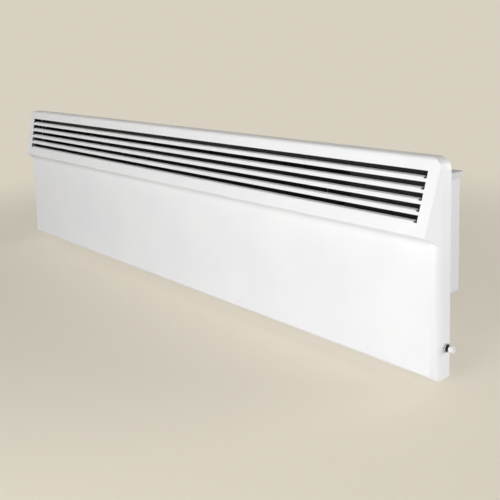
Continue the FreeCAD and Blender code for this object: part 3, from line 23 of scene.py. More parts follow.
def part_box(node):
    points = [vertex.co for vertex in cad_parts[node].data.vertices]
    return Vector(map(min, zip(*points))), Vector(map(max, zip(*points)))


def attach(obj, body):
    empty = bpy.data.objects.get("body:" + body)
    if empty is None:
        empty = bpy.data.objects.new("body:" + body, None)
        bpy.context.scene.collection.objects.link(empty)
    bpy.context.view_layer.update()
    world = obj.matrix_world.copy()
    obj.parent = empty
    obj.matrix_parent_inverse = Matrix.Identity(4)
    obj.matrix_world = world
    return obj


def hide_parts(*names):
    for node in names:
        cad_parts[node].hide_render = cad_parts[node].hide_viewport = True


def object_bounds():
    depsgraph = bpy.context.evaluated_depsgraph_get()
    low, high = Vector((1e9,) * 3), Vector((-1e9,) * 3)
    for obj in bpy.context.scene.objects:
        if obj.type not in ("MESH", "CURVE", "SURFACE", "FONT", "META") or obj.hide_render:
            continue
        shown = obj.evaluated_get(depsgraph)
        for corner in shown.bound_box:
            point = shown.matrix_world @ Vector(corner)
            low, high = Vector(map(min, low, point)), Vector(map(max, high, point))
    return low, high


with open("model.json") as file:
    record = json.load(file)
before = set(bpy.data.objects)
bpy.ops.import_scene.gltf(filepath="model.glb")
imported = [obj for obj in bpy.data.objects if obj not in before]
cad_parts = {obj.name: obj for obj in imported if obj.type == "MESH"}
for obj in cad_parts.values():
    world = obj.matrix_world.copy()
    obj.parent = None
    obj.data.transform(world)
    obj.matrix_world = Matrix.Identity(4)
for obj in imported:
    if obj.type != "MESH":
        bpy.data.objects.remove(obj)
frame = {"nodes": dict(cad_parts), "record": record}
CAD_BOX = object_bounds()
MM = 0.001
MERGE_DISTANCE = 0.001 * MM
EDGE_STEPS = 3
LOG = logging.getLogger("panel_heater")

Profile = Sequence[tuple[float, float]]
Triple = tuple[float, float, float]
Tree = bpy.types.NodeTree
Socket = bpy.types.NodeSocket
Shape = bpy.types.Object


# Finishes


def linear(code: str) -> tuple[float, float, float, float]:
    """Turn an sRGB hex code into a linear colour.

    Args:
        code: Colour such as "#F4F4F2".

    Returns:
        Red, green and blue, with an alpha of 1.
    """
    parts = [int(code[start : start + 2], 16) / 255 for start in (1, 3, 5)]
    red, green, blue = (p / 12.92 if p <= 0.04045 else ((p + 0.055) / 1.055) ** 2.4 for p in parts)
    return red, green, blue, 1.0


def socket(sockets: Any, key: str) -> Socket:
    """Find a socket by its identifier or, failing that, by its name."""
    return next((s for s in sockets if s.identifier == key), None) or sockets[key]


def add_node(
    tree: Tree, kind: str, settings: Optional[dict[str, Any]] = None, links: Optional[dict[str, Socket]] = None
) -> bpy.types.Node:
    """Add a node with its settings and links.

    Args:
        tree: Tree that takes the node.
        kind: Node type.
        settings: Values by property (lower case) or by input socket.
        links: Output sockets by the input socket that each one feeds.

    Returns:
        The new node.
    """
    node = tree.nodes.new(kind)
    for key, value in (settings or {}).items():
        if key.islower():
            setattr(node, key, value)
        else:
            socket(node.inputs, key).default_value = value
    for key, source in (links or {}).items():
        tree.links.new(source, socket(node.inputs, key))
    return node


def largest(tree: Tree, *values: Socket) -> Socket:
    """Give the largest of some values.

    Args:
        tree: Tree that takes the nodes.
        *values: Sockets that carry the values.

    Returns:
        The socket that carries the largest.
    """
    most = values[0]
    for value in values[1:]:
        links = {"Value": most, "Value_001": value}
        most = add_node(tree, "ShaderNodeMath", {"operation": "MAXIMUM"}, links).outputs["Value"]
    return most


def empty_material(name: str) -> bpy.types.Material:
    """Make a node material that has no nodes yet.

    Args:
        name: Material name.

    Returns:
        The new material.
    """
    made = bpy.data.materials.new(name)
    made.use_nodes = True
    made.node_tree.nodes.clear()
    return made


class Pattern(Enum):
    """Surface patterns, each as its texture node, output socket and the length of one repeat."""

    CLOUD = ("ShaderNodeTexNoise", "Fac", 1.0)
    SPANGLE = ("ShaderNodeTexVoronoi", "Color", 1.0)
    WINDING = ("ShaderNodeTexWave", "Fac", math.pi / 10)
    TRACKS = ("ShaderNodeTexBrick", "Fac", 0.5)


# The textures keep near the middle of their range; this part of it is spread from 0 to 1.
TEXTURE_RANGE = {"From Min": 0.3, "From Max": 0.7}


@dataclass(frozen=True)
class Finish:
    """One real material and the way its surface was made.

    Attributes:
        name: Material name.
        colour: Main colour.
        shade: Second colour of the pattern.
        roughness: Roughness at the pattern's low and high ends.
        grain_mm: Size of the pattern.
        relief_mm: Width of the fine bumps.
        relief_depth_mm: Depth of the fine bumps.
        pattern: Kind of pattern.
        metallic: 1 for bare metal.
        drawn_mm: Size of the pattern along X where the piece was drawn out that way.
    """

    name: str
    colour: str
    shade: str
    roughness: tuple[float, float]
    grain_mm: float
    relief_mm: float
    relief_depth_mm: float
    pattern: Pattern = Pattern.CLOUD
    metallic: float = 0.0
    drawn_mm: Optional[float] = None

    def material(self) -> bpy.types.Material:
        """Build the finish as a node material.

        Returns:
            The new material.
        """
        made = empty_material(self.name)
        tree = made.node_tree
        place = add_node(tree, "ShaderNodeTexCoord").outputs["Object"]
        tone = self.tone(tree, place)
        low, high = self.roughness
        rough = add_node(tree, "ShaderNodeMapRange", {"To Min": low, "To Max": high}, {"Value": tone})
        shader = add_node(
            tree,
            "ShaderNodeBsdfPrincipled",
            {"Metallic": self.metallic},
            {
                "Base Color": self.tint(tree, tone),
                "Roughness": rough.outputs["Result"],
                "Normal": self.relief(tree, place),
            },
        )
        add_node(tree, "ShaderNodeOutputMaterial", links={"Surface": shader.outputs["BSDF"]})
        return made

    def tone(self, tree: Tree, place: Socket) -> Socket:
        """Draw the pattern as a value from 0 to 1.

        Args:
            tree: Tree of the material.
            place: Object coordinates.

        Returns:
            The socket that carries the value.
        """
        kind, output, repeat = self.pattern.value
        sizes = (self.drawn_mm or self.grain_mm, self.grain_mm, self.grain_mm)
        scale = tuple(repeat / (size * MM) for size in sizes)
        laid = add_node(tree, "ShaderNodeMapping", {"Scale": scale}, {"Vector": place})
        texture = add_node(tree, kind, {"Scale": 1.0}, {"Vector": laid.outputs["Vector"]})
        return add_node(
            tree, "ShaderNodeMapRange", TEXTURE_RANGE, {"Value": texture.outputs[output]}
        ).outputs["Result"]

    def tint(self, tree: Tree, tone: Socket) -> Socket:
        """Blend the two colours by the pattern, which goes from 0 to 1."""
        colours = {"data_type": "RGBA", "A_Color": linear(self.colour), "B_Color": linear(self.shade)}
        return socket(add_node(tree, "ShaderNodeMix", colours, {"Factor_Float": tone}).outputs, "Result_Color")

    def relief(self, tree: Tree, place: Socket) -> Socket:
        """Draw the fine bumps.

        Args:
            tree: Tree of the material.
            place: Object coordinates.

        Returns:
            The socket that carries the bumped normal.
        """
        settings = {"Scale": 1 / (self.relief_mm * MM), "Detail": 1.0}
        height = add_node(tree, "ShaderNodeTexNoise", settings, {"Vector": place}).outputs["Fac"]
        depth = {"Distance": self.relief_depth_mm * MM}
        return add_node(tree, "ShaderNodeBump", depth, {"Height": height}).outputs["Normal"]


@dataclass(frozen=True)
class TwoToneFinish(Finish):
    """A finish with another colour on part of the surface.

    Attributes:
        other: Colour of that part.
    """

    other: str = "#000000"

    def tint(self, tree: Tree, tone: Socket) -> Socket:
        """Blend the pattern's colours, then lay the other colour on its part.

        Args:
            tree: Tree of the material.
            tone: Pattern from 0 to 1.

        Returns:
            The socket that carries the colour.
        """
        mixed = add_node(
            tree,
            "ShaderNodeMix",
            {"data_type": "RGBA", "B_Color": linear(self.other)},
            {"Factor_Float": self.other_part(tree), "A_Color": super().tint(tree, tone)},
        )
        return socket(mixed.outputs, "Result_Color")

    def other_part(self, tree: Tree) -> Socket:
        """Give a value that is 1 where the other colour lies."""
        raise NotImplementedError


@dataclass(frozen=True)
class StripedFinish(TwoToneFinish):
    """A finish whose other colour lies where the surface looks one way.

    Attributes:
        way: Direction of that side.
        limit: Cosine from which a face counts as looking that way.
    """

    way: Triple = (1.0, 0.0, 0.0)
    limit: float = 0.2

    def other_part(self, tree: Tree) -> Socket:
        """Give a value that is 1 where the surface looks that way.

        Args:
            tree: Tree of the material.

        Returns:
            The socket that carries the value.
        """
        normal = add_node(tree, "ShaderNodeNewGeometry").outputs["Normal"]
        settings = {"operation": "DOT_PRODUCT", "Vector_001": self.way}
        facing = add_node(tree, "ShaderNodeVectorMath", settings, {"Vector": normal}).outputs["Value"]
        side = {"operation": "GREATER_THAN", "Value_001": self.limit}
        return add_node(tree, "ShaderNodeMath", side, {"Value": facing}).outputs["Value"]


@dataclass(frozen=True)
class InnerShadeFinish(TwoToneFinish):
    """A finish whose other colour is painted shade on the inside of the sheet, where it shows through the slots.

    Attributes:
        boxes_mm: Lowest and highest corner of each box; faces in it that look to its middle get the painted shade.
    """

    boxes_mm: Sequence[tuple[Triple, Triple]] = ()

    def other_part(self, tree: Tree) -> Socket:
        """Give a value that is 1 where any of the boxes paints the shade.

        Args:
            tree: Tree of the material.

        Returns:
            The socket that carries the value.
        """
        place = add_node(tree, "ShaderNodeTexCoord").outputs["Object"]
        boxes = [(Vector(low) * MM, Vector(high) * MM) for low, high in self.boxes_mm]
        return largest(tree, *(self.painted_inside(tree, place, low, high) for low, high in boxes))

    def painted_inside(self, tree: Tree, place: Socket, low: Vector, high: Vector) -> Socket:
        """Give a value that is 1 on the faces in one box that look to its middle.

        Args:
            tree: Tree of the material.
            place: Object coordinates.
            low: Lowest corner of the box.
            high: Its highest corner.

        Returns:
            The socket that carries the value.
        """
        centre = {"operation": "SUBTRACT", "Vector_001": (low + high) / 2}
        away = add_node(tree, "ShaderNodeVectorMath", centre, {"Vector": place}).outputs["Vector"]
        reach = add_node(tree, "ShaderNodeVectorMath", {"operation": "ABSOLUTE"}, {"Vector": away}).outputs["Vector"]
        half = {"operation": "SUBTRACT", "Vector_001": (high - low) / 2}
        beyond = add_node(tree, "ShaderNodeVectorMath", half, {"Vector": reach}).outputs["Vector"]
        links = {"Vector": away, "Vector_001": add_node(tree, "ShaderNodeNewGeometry").outputs["Normal"]}
        outward = add_node(tree, "ShaderNodeVectorMath", {"operation": "DOT_PRODUCT"}, links).outputs["Value"]
        sides = add_node(tree, "ShaderNodeSeparateXYZ", links={"Vector": beyond}).outputs
        below = {"operation": "LESS_THAN", "Value_001": 0.0}
        outside = {"Value": largest(tree, outward, *sides)}
        return add_node(tree, "ShaderNodeMath", below, outside).outputs["Value"]


# Finishes by the record's material slot. Powder coat's orange peel is about 1 mm wide and would be too fine to
# show in the render, so it is drawn at 4 mm; the same goes for the spark-eroded grain of the plastics.
# Each line gives colours, roughness, pattern size, and width and depth of the bumps.
# Black that paints the shade seen through the outlet slots onto the inside of the sheets.
SLOT_SHADE_BLACK = "#171718"
WIRE: dict[str, Any] = {
    "roughness": (0.34, 0.46),
    "grain_mm": 3.0,
    "relief_mm": 1.2,
    "relief_depth_mm": 0.006,
}
FINISHES: dict[str, Finish] = {
    # Polyester powder coat, sprayed and baked: clean white with a soft gloss and a hint of orange peel. The
    # warm-air outlet behind the slots is painted black as the shade seen through them.
    "panel_paint": InnerShadeFinish(
        "powder_coat_white",
        "#F3F3F3",
        "#EFEFF0",
        (0.32, 0.38),
        70.0,
        4.0,
        0.008,
        other=SLOT_SHADE_BLACK,
        boxes_mm=(((-449.4, -79.5, 12.0), (449.4, -68.6, 86.9)),),
    ),
    # The same coat in satin light grey; the inside of the tray and the front of its rim are painted black
    # as the shade seen through the slots.
    "casing_paint": InnerShadeFinish(
        "powder_coat_light_grey",
        "#E7E6E9",
        "#E3E2E5",
        (0.44, 0.52),
        60.0,
        4.0,
        0.01,
        other=SLOT_SHADE_BLACK,
        boxes_mm=(
            ((-425.5, -70.0, -62.0), (425.5, -18.5, 62.0)),
            ((-449.0, -75.0, -131.0), (449.0, -67.5, 86.0)),
        ),
    ),
    # Hot-dip galvanised sheet: crystals of lighter and darker zinc with uneven shine.
    "bracket_zinc": Finish(
        "galvanised_sheet", "#C3C6C8", "#B3B7BA", (0.36, 0.46), 7.0, 2.0, 0.004, Pattern.SPANGLE, metallic=1.0
    ),
    # Heat-proof stove black, sprayed thin: matt and slightly cloudy. On the sheets behind the slots the black
    # is also painted shade, seen through them.
    "duct_black": Finish("stove_black_and_painted_shade", "#161616", "#1E1D1C", (0.62, 0.8), 14.0, 1.2, 0.02),
    # Dark anodised extrusion: draw lines run along its length.
    "fin_aluminium": Finish(
        "anodised_extrusion", "#5E6062", "#4A4C4E", (0.32, 0.5), 1.2, 1.5, 0.01, metallic=1.0, drawn_mm=160.0
    ),
    # Bright zinc-plated steel: cool and clean with small uneven stains.
    "steel": Finish("zinc_plated_steel", "#C9CACB", "#B4B6B8", (0.24, 0.36), 2.0, 0.6, 0.003, metallic=1.0),
    # Unglazed steatite, pressed and fired: chalky cream with darker specks.
    "bush_ceramic": Finish("steatite_unglazed", "#EAE4D4", "#D8CFB9", (0.6, 0.75), 0.9, 0.5, 0.02),
    # Glass-filled nylon, moulded black: satin with a faint flow pattern.
    "black_plastic": Finish("nylon_black", "#19191B", "#212123", (0.42, 0.55), 5.0, 0.7, 0.01),
    # Light grey moulded ABS with a fine eroded grain.
    "grey_plastic": Finish("abs_light_grey", "#D9D8DA", "#D3D2D5", (0.4, 0.5), 25.0, 1.0, 0.008),
    # White moulded ABS, polished tool: smooth with a soft gloss.
    "white_plastic": Finish("abs_white", "#F1F1EF", "#EBEBE9", (0.24, 0.32), 12.0, 1.5, 0.003),
    # Smoked acrylic window: near black and glassy.
    "display_tint": Finish("acrylic_smoked", "#0B0D10", "#101318", (0.06, 0.1), 15.0, 4.0, 0.001),
    # Green solder mask over copper tracks, which show as lighter bars.
    "board_green": Finish("solder_mask", "#2C7A41", "#14532A", (0.35, 0.45), 9.0, 1.5, 0.006, Pattern.TRACKS),
    # Blue moulded relay case.
    "relay_blue": Finish("polyester_blue", "#1F4486", "#1A3A75", (0.38, 0.48), 4.0, 0.8, 0.008),
    # Yellow polyester tape wound round the coil: overlapping bands.
    "transformer_yellow": Finish(
        "winding_tape", "#DCC250", "#BFA236", (0.3, 0.42), 4.0, 1.0, 0.01, Pattern.WINDING
    ),
    # Moulded rubber: matt black with a dusty bloom.
    "grommet_rubber": Finish("rubber_black", "#151515", "#222221", (0.7, 0.88), 3.0, 0.6, 0.01),
    # PVC insulation, extruded: even colour, soft shine and slight waviness along the wire.
    "lead_blue": Finish("pvc_blue", "#2A54A8", "#244A96", **WIRE),
    "lead_brown": Finish("pvc_brown", "#5E3820", "#52301B", **WIRE),
    "lead_white": Finish("pvc_white", "#E6E4DE", "#DCD9D1", **WIRE),
    "lead_black": Finish("pvc_black", "#161617", "#1E1E1F", **WIRE),
    # Earth wire: green insulation with a yellow stripe along one side.
    "lead_earth": StripedFinish("pvc_green_yellow", "#3E8E2E", "#378026", **WIRE, other="#E3CF2B"),
}


class Wardrobe:
    """Makes each finish once and puts it on solids and pieces."""

    def __init__(self) -> None:
        """Start with no material made."""
        self.made: dict[str, bpy.types.Material] = {}

    def material(self, slot: str) -> bpy.types.Material:
        """Give the material of a slot, made at its first use.

        Args:
            slot: Material slot of the record.

        Returns:
            The material.
        """
        if slot not in self.made:
            self.made[slot] = FINISHES[slot].material()
        return self.made[slot]

    def dress_solids(self) -> None:
        """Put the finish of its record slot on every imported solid."""
        for row in frame["record"]["subparts"]:
            solid = frame["nodes"][row["node"]]
            for place in solid.material_slots:
                place.material = self.material(row["material_slot"])

    def dress(self, piece: Shape, name: str, body: str, slot: str, *replaced: str) -> None:
        """Name a finished piece, give it its finish and set it on its body.

        Args:
            piece: The finished mesh.
            name: Name of the piece.
            body: Body that it rides on.
            slot: Material slot that its finish comes from.
            *replaced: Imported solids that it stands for.
        """
        piece.name = piece.data.name = name
        piece.data.materials.clear()
        piece.data.materials.append(self.material(slot))
        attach(piece, body)
        if replaced:
            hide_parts(*replaced)
        LOG.info("%s rides on %s: %d faces", name, body, len(piece.data.polygons))


# Modelling with Blender's operators


class Part(Enum):
    """Parts of a mesh that can be selected."""

    VERTEX = "VERT"
    EDGE = "EDGE"
    FACE = "FACE"


def select_only(*shapes: Shape) -> None:
    """Select these objects and nothing else; the last one is active.

    Args:
        *shapes: The objects.
    """
    bpy.ops.object.select_all(action="DESELECT")
    for shape in shapes:
        shape.select_set(True)
        bpy.context.view_layer.objects.active = shape


def add_primitive(kind: str, **settings: Any) -> Shape:
    """Add a primitive as the start of a piece.

    Args:
        kind: Name of the operator after "primitive_", such as "circle_add".
        **settings: Its size and place.

    Returns:
        The new object.
    """
    bpy.ops.object.select_all(action="DESELECT")
    getattr(bpy.ops.mesh, f"primitive_{kind}")(**settings)
    return bpy.context.active_object


@contextmanager
def editing(shape: Shape) -> Iterator[None]:
    """Work on one mesh in edit mode, with nothing selected at the start.

    Args:
        shape: Object that holds the mesh.

    Yields:
        Nothing, while the mesh is in edit mode.
    """
    select_only(shape)
    bpy.ops.object.mode_set(mode="EDIT")
    bpy.ops.mesh.select_all(action="DESELECT")
    yield
    bpy.ops.object.mode_set(mode="OBJECT")


def pick(shape: Shape, part: Part, test: Callable[[Sequence[Vector]], bool]) -> int:
    """Select the parts of a mesh in edit mode whose corner points all together pass a test.

    Args:
        shape: Object in edit mode.
        part: What to select.
        test: Takes the corner points of one part.

    Returns:
        How many parts were selected.
    """
    bpy.ops.mesh.select_mode(type=part.value)
    bpy.ops.mesh.select_all(action="DESELECT")
    mesh = bmesh.from_edit_mesh(shape.data)
    found = {Part.VERTEX: mesh.verts, Part.EDGE: mesh.edges, Part.FACE: mesh.faces}[part]
    count = 0
    for item in found:
        points = [item.co] if part is Part.VERTEX else [corner.co for corner in item.verts]
        if test(points):
            item.select_set(True)
            count += 1
    mesh.select_flush_mode()
    bmesh.update_edit_mesh(shape.data)
    return count


def modify(shape: Shape, kind: str, **settings: Any) -> None:
    """Add a modifier with its settings and apply it.

    Args:
        shape: Object that it works on.
        kind: Modifier type.
        **settings: Its settings.
    """
    select_only(shape)
    modifier = shape.modifiers.new(kind, kind)
    for key, value in settings.items():
        setattr(modifier, key, value)
    bpy.ops.object.modifier_apply(modifier=modifier.name)


def smooth(shape: Shape, degrees: float = 32.0) -> None:
    """Shade a mesh smooth, apart from edges sharper than an angle."""
    select_only(shape)
    bpy.ops.object.shade_smooth_by_angle(angle=math.radians(degrees))


def close_up(shape: Shape) -> None:
    """Merge doubled points and turn all faces outwards.

    Args:
        shape: Object that holds the mesh.
    """
    with editing(shape):
        bpy.ops.mesh.select_all(action="SELECT")
        bpy.ops.mesh.remove_doubles(threshold=MERGE_DISTANCE)
        bpy.ops.mesh.normals_make_consistent(inside=False)


def set_down(shape: Shape, where: Matrix) -> None:
    """Move a mesh to its place and leave its object at the origin, unturned and unscaled.

    Args:
        shape: Object that holds the mesh.
        where: The move.
    """
    select_only(shape)
    shape.matrix_world = where @ shape.matrix_world
    bpy.ops.object.transform_apply(location=True, rotation=True, scale=True)


def copy_of(shape: Shape) -> Shape:
    """Make a copy of an object with a mesh of its own.

    Args:
        shape: The object.

    Returns:
        The copy.
    """
    twin = bpy.data.objects.new(shape.name, shape.data.copy())
    bpy.context.scene.collection.objects.link(twin)
    return twin


def joined(shapes: Sequence[Shape]) -> Shape:
    """Join several objects into one mesh.

    Args:
        shapes: The objects.

    Returns:
        The last of them, which then holds the whole mesh.
    """
    select_only(*shapes)
    if len(shapes) > 1:
        bpy.ops.object.join()
    return bpy.context.active_object


def shaded(shapes: Sequence[Shape]) -> Shape:
    """Join the shapes of one piece and shade it smooth.

    Args:
        shapes: The shapes.

    Returns:
        The piece.
    """
    piece = joined(shapes)
    smooth(piece)
    return piece


def turned(profile: Profile, sides: int = 40, hollow: bool = False) -> Shape:
    """Turn a piece about Z: a circle is extruded and resized from step to step.

    Args:
        profile: Radius and height of each step, in mm.
        sides: Corners of the circle.
        hollow: True for a ring whose last step meets its first.

    Returns:
        The new object.
    """
    radius, height = profile[0]
    fill = "NOTHING" if hollow else "NGON"
    shape = add_primitive(
        "circle_add", vertices=sides, radius=radius * MM, fill_type=fill, location=(0, 0, height * MM)
    )
    with editing(shape):
        bpy.ops.mesh.select_all(action="SELECT")
        for wide, high in profile[1:]:
            rise = (0, 0, (high - height) * MM)
            bpy.ops.mesh.extrude_region_move(TRANSFORM_OT_translate={"value": rise})
            grow = wide / radius
            bpy.ops.transform.resize(value=(grow, grow, 1), center_override=(0, 0, high * MM))
            radius, height = wide, high
    set_down(shape, Matrix.Identity(4))
    close_up(shape)
    return shape


def scaled(curve: Profile, wide: float, tall: float, base: float = 0.0) -> list[tuple[float, float]]:
    """Turn steps given as shares of a radius and a height into sizes, with heights counted from a base."""
    return [(radius * wide, base + height * tall) for radius, height in curve]


def bar(size_mm: Sequence[float], centre_mm: Sequence[float], edge_mm: float) -> Shape:
    """Make a block with rounded edges.

    Args:
        size_mm: Its length along X, Y and Z.
        centre_mm: Its middle.
        edge_mm: Radius of its edges.

    Returns:
        The new object.
    """
    shape = add_primitive("cube_add", size=1, location=Vector(centre_mm) * MM)
    shape.scale = Vector(size_mm) * MM
    set_down(shape, Matrix.Identity(4))
    with editing(shape):
        bpy.ops.mesh.select_all(action="SELECT")
        bpy.ops.mesh.bevel(offset=edge_mm * MM, segments=EDGE_STEPS, affect="EDGES")
    return shape


def block(low: Sequence[float], high: Sequence[float], edge_mm: float) -> Shape:
    """Make a block with rounded edges between two corners in mm."""
    first, last = Vector(low), Vector(high)
    return bar(last - first, (first + last) / 2, edge_mm)


def turn_z_to(direction: Vector) -> Matrix:
    """Give the rotation that carries +Z to a direction."""
    return direction.to_track_quat("Z", "Y").to_matrix().to_4x4()


def loose_boxes(node: str) -> list[tuple[Vector, Vector]]:
    """Measure the separate solids of one node on a copy of its mesh.

    Args:
        node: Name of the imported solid.

    Returns:
        Lowest and highest corner of each, from left to right.
    """
    copy = copy_of(frame["nodes"][node])
    close_up(copy)
    with editing(copy):
        bpy.ops.mesh.separate(type="LOOSE")
    boxes = []
    for loose in list(bpy.context.selected_objects):
        corners = [vertex.co for vertex in loose.data.vertices]
        low, high = (Vector(limit(axis) for axis in zip(*corners)) for limit in (min, max))
        boxes.append((low, high))
        bpy.data.objects.remove(loose)
    return sorted(boxes, key=lambda box: (round(box[0].x, 4), round(box[0].z, 4)))


# Sub-assemblies


@dataclass
class PressedPanel:
    """Front panel, pressed from sheet: the press leaves a soft crease where the lip meets the face.

    Attributes:
        face_y_mm: Plane of the flat face.
        crease_z_mm: Height of the crease.
        reach_mm: How far from those two an edge of the crease may lie.
        blend_mm: How far the crease blends into the faces beside it.
        steps: Facets across the blend.
        flat: Angle up to which neighbouring faces count as one, in degrees.
        sharp: Angle from which an edge shows, in degrees.
    """

    face_y_mm: float = -88.0
    crease_z_mm: float = 4.5
    reach_mm: float = 0.2
    blend_mm: float = 5.0
    steps: int = 8
    flat: float = 0.05
    sharp: float = 35.0

    def build(self, wardrobe: Wardrobe) -> None:
        """Model the panel on a merged copy of its solid and dress it.

        Args:
            wardrobe: Gives the finishes.
        """
        shape = copy_of(frame["nodes"]["front_panel"])
        self.merge(shape)
        self.soften_crease(shape)
        smooth(shape, self.sharp)
        modify(shape, "WEIGHTED_NORMAL", weight=100, keep_sharp=True)
        wardrobe.dress(shape, "pressed_panel", "heater", "panel_paint", "front_panel")

    def merge(self, shape: Shape) -> None:
        """Join the solid's loose triangles and clear the flat faces of needless edges.

        Args:
            shape: Copy of the solid.
        """
        with editing(shape):
            bpy.ops.mesh.select_all(action="SELECT")
            bpy.ops.mesh.remove_doubles(threshold=MERGE_DISTANCE)
            bpy.ops.mesh.customdata_custom_splitnormals_clear()
            bpy.ops.mesh.dissolve_limited(angle_limit=math.radians(self.flat))

    def soften_crease(self, shape: Shape) -> None:
        """Bevel the crease that runs along the face under the lip.

        Args:
            shape: The merged panel.
        """
        crease = Vector((self.face_y_mm, self.crease_z_mm)) * MM

        def on_crease(points: Sequence[Vector]) -> bool:
            """Tell whether an edge lies on the crease."""
            return all(max(abs(gap) for gap in p.yz - crease) < self.reach_mm * MM for p in points)

        with editing(shape):
            count = pick(shape, Part.EDGE, on_crease)
            LOG.info("crease under the lip: %d edges", count)
            if count:
                bpy.ops.mesh.bevel(offset=self.blend_mm * MM, segments=self.steps, affect="EDGES")


@dataclass
class CrossScrews:
    """Pan-head screws with a cross recess, one set for each group of screw solids.

    Attributes:
        node: Group of screw solids.
        facing: Way that the heads look.
        head_mm: Radius and height of the head.
        shank_mm: Radius of the shank.
        pitch_mm: Length of one turn of the thread.
        thread_start: Where the thread starts, in turns from the tip.
        recess_mm: Length, width and depth of the cross recess.
        spin: How far each screw is turned on from the one before, in degrees.
        head_curve: Rounding of the head, in shares of its size.
        tip_curve: Taper of the tip, in shares of the shank's radius and the pitch.
        thread_curve: Crest and root of one turn, in the same shares.
    """

    node: str
    facing: Vector
    head_mm: tuple[float, float] = (3.0, 1.8)
    shank_mm: float = 1.6
    pitch_mm: float = 0.8
    thread_start: float = 1.5
    recess_mm: Triple = (3.4, 0.8, 1.1)
    spin: float = 37.0
    head_curve: Profile = ((1.0, 1.0), (1.0, 1 / 3), (0.93, 1 / 8), (0.8, 0.0))
    tip_curve: Profile = ((0.35, 0.0), (0.9, 1.0))
    thread_curve: Profile = ((1.0, 0.0), (0.86, 0.5))

    def build(self, wardrobe: Wardrobe) -> None:
        """Model one screw, copy it to each place and dress the set.

        Args:
            wardrobe: Gives the finishes.
        """
        boxes = loose_boxes(self.node)
        axis = max(range(3), key=lambda i: abs(self.facing[i]))
        length = (boxes[0][1][axis] - boxes[0][0][axis]) / MM
        master = self.screw(length)
        copies = []
        for index, (low, high) in enumerate(boxes):
            top = (low + high) / 2
            top[axis] = high[axis] if self.facing[axis] > 0 else low[axis]
            spin = Matrix.Rotation(math.radians(self.spin * index), 4, "Z")
            copy = copy_of(master)
            set_down(copy, Matrix.Translation(top) @ turn_z_to(self.facing) @ spin)
            copies.append(copy)
        bpy.data.objects.remove(master)
        wardrobe.dress(joined(copies), f"{self.node}_recessed", "heater", "steel", self.node)

    def screw(self, length: float) -> Shape:
        """Model one screw with the top of its head at the origin.

        Args:
            length: Whole length in mm.

        Returns:
            The screw.
        """
        radius, head = self.head_mm
        shank, pitch = self.shank_mm, self.pitch_mm
        profile = scaled(self.tip_curve, shank, pitch, -length)
        height = -length + self.thread_start * pitch
        while height < -head - pitch:
            profile += scaled(self.thread_curve, shank, pitch, height)
            height += pitch
        profile += [(shank, -head), *scaled(self.head_curve, radius, -head)]
        screw = turned(profile)
        long, wide, deep = self.recess_mm
        for quarter in (0, 1):
            size = (long, wide) if quarter else (wide, long)
            blade = bar((*size, 2 * deep), (0, 0, 0), wide / 8)
            modify(screw, "BOOLEAN", operation="DIFFERENCE", object=blade, solver="EXACT")
            bpy.data.objects.remove(blade)
        smooth(screw)
        return screw


@dataclass
class BlindRivets:
    """Domed blind rivets through the casing's back, each with the pit that its mandrel leaves.

    Attributes:
        node: Group of rivet solids.
        head_mm: Radius and height of the domed head.
        shank_mm: Radius of the shank.
        pit_mm: Radius and depth of the mandrel's pit.
        bulge_curve: Blind end, in shares of the head's size.
        dome_curve: Rounding of the head, in the same shares.
        pit_curve: Wall of the pit, in shares of its size.
    """

    node: str = "casing_rivets"
    head_mm: tuple[float, float] = (3.0, 0.8)
    shank_mm: float = 1.6
    pit_mm: tuple[float, float] = (0.8, 0.5)
    bulge_curve: Profile = ((0.5, 0.0), (0.9, 0.3), (0.9, 0.7))
    dome_curve: Profile = ((1.0, 1.0), (1.0, 0.7), (0.86, 0.35), (0.6, 0.08))
    pit_curve: Profile = ((1.15, 0.0), (1.0, 0.2), (0.9, 1.0))

    def build(self, wardrobe: Wardrobe) -> None:
        """Turn each rivet at its own length, set it in place and dress the set.

        Args:
            wardrobe: Gives the finishes.
        """
        radius, head = self.head_mm
        pit, deep = self.pit_mm
        rivets = []
        for low, high in loose_boxes(self.node):
            length = (high.y - low.y) / MM
            profile = scaled(self.bulge_curve, radius, head, -length)
            profile += [(self.shank_mm, -length + head), (self.shank_mm, -head)]
            profile += scaled(self.dome_curve, radius, -head) + scaled(self.pit_curve, pit, -deep)
            rivet = turned(profile)
            centre = (low + high) / 2
            top = Vector((centre.x, high.y, centre.z))
            set_down(rivet, Matrix.Translation(top) @ turn_z_to(Vector((0, 1, 0))))
            rivets.append(rivet)
        wardrobe.dress(shaded(rivets), "blind_rivets", "heater", "steel", self.node)


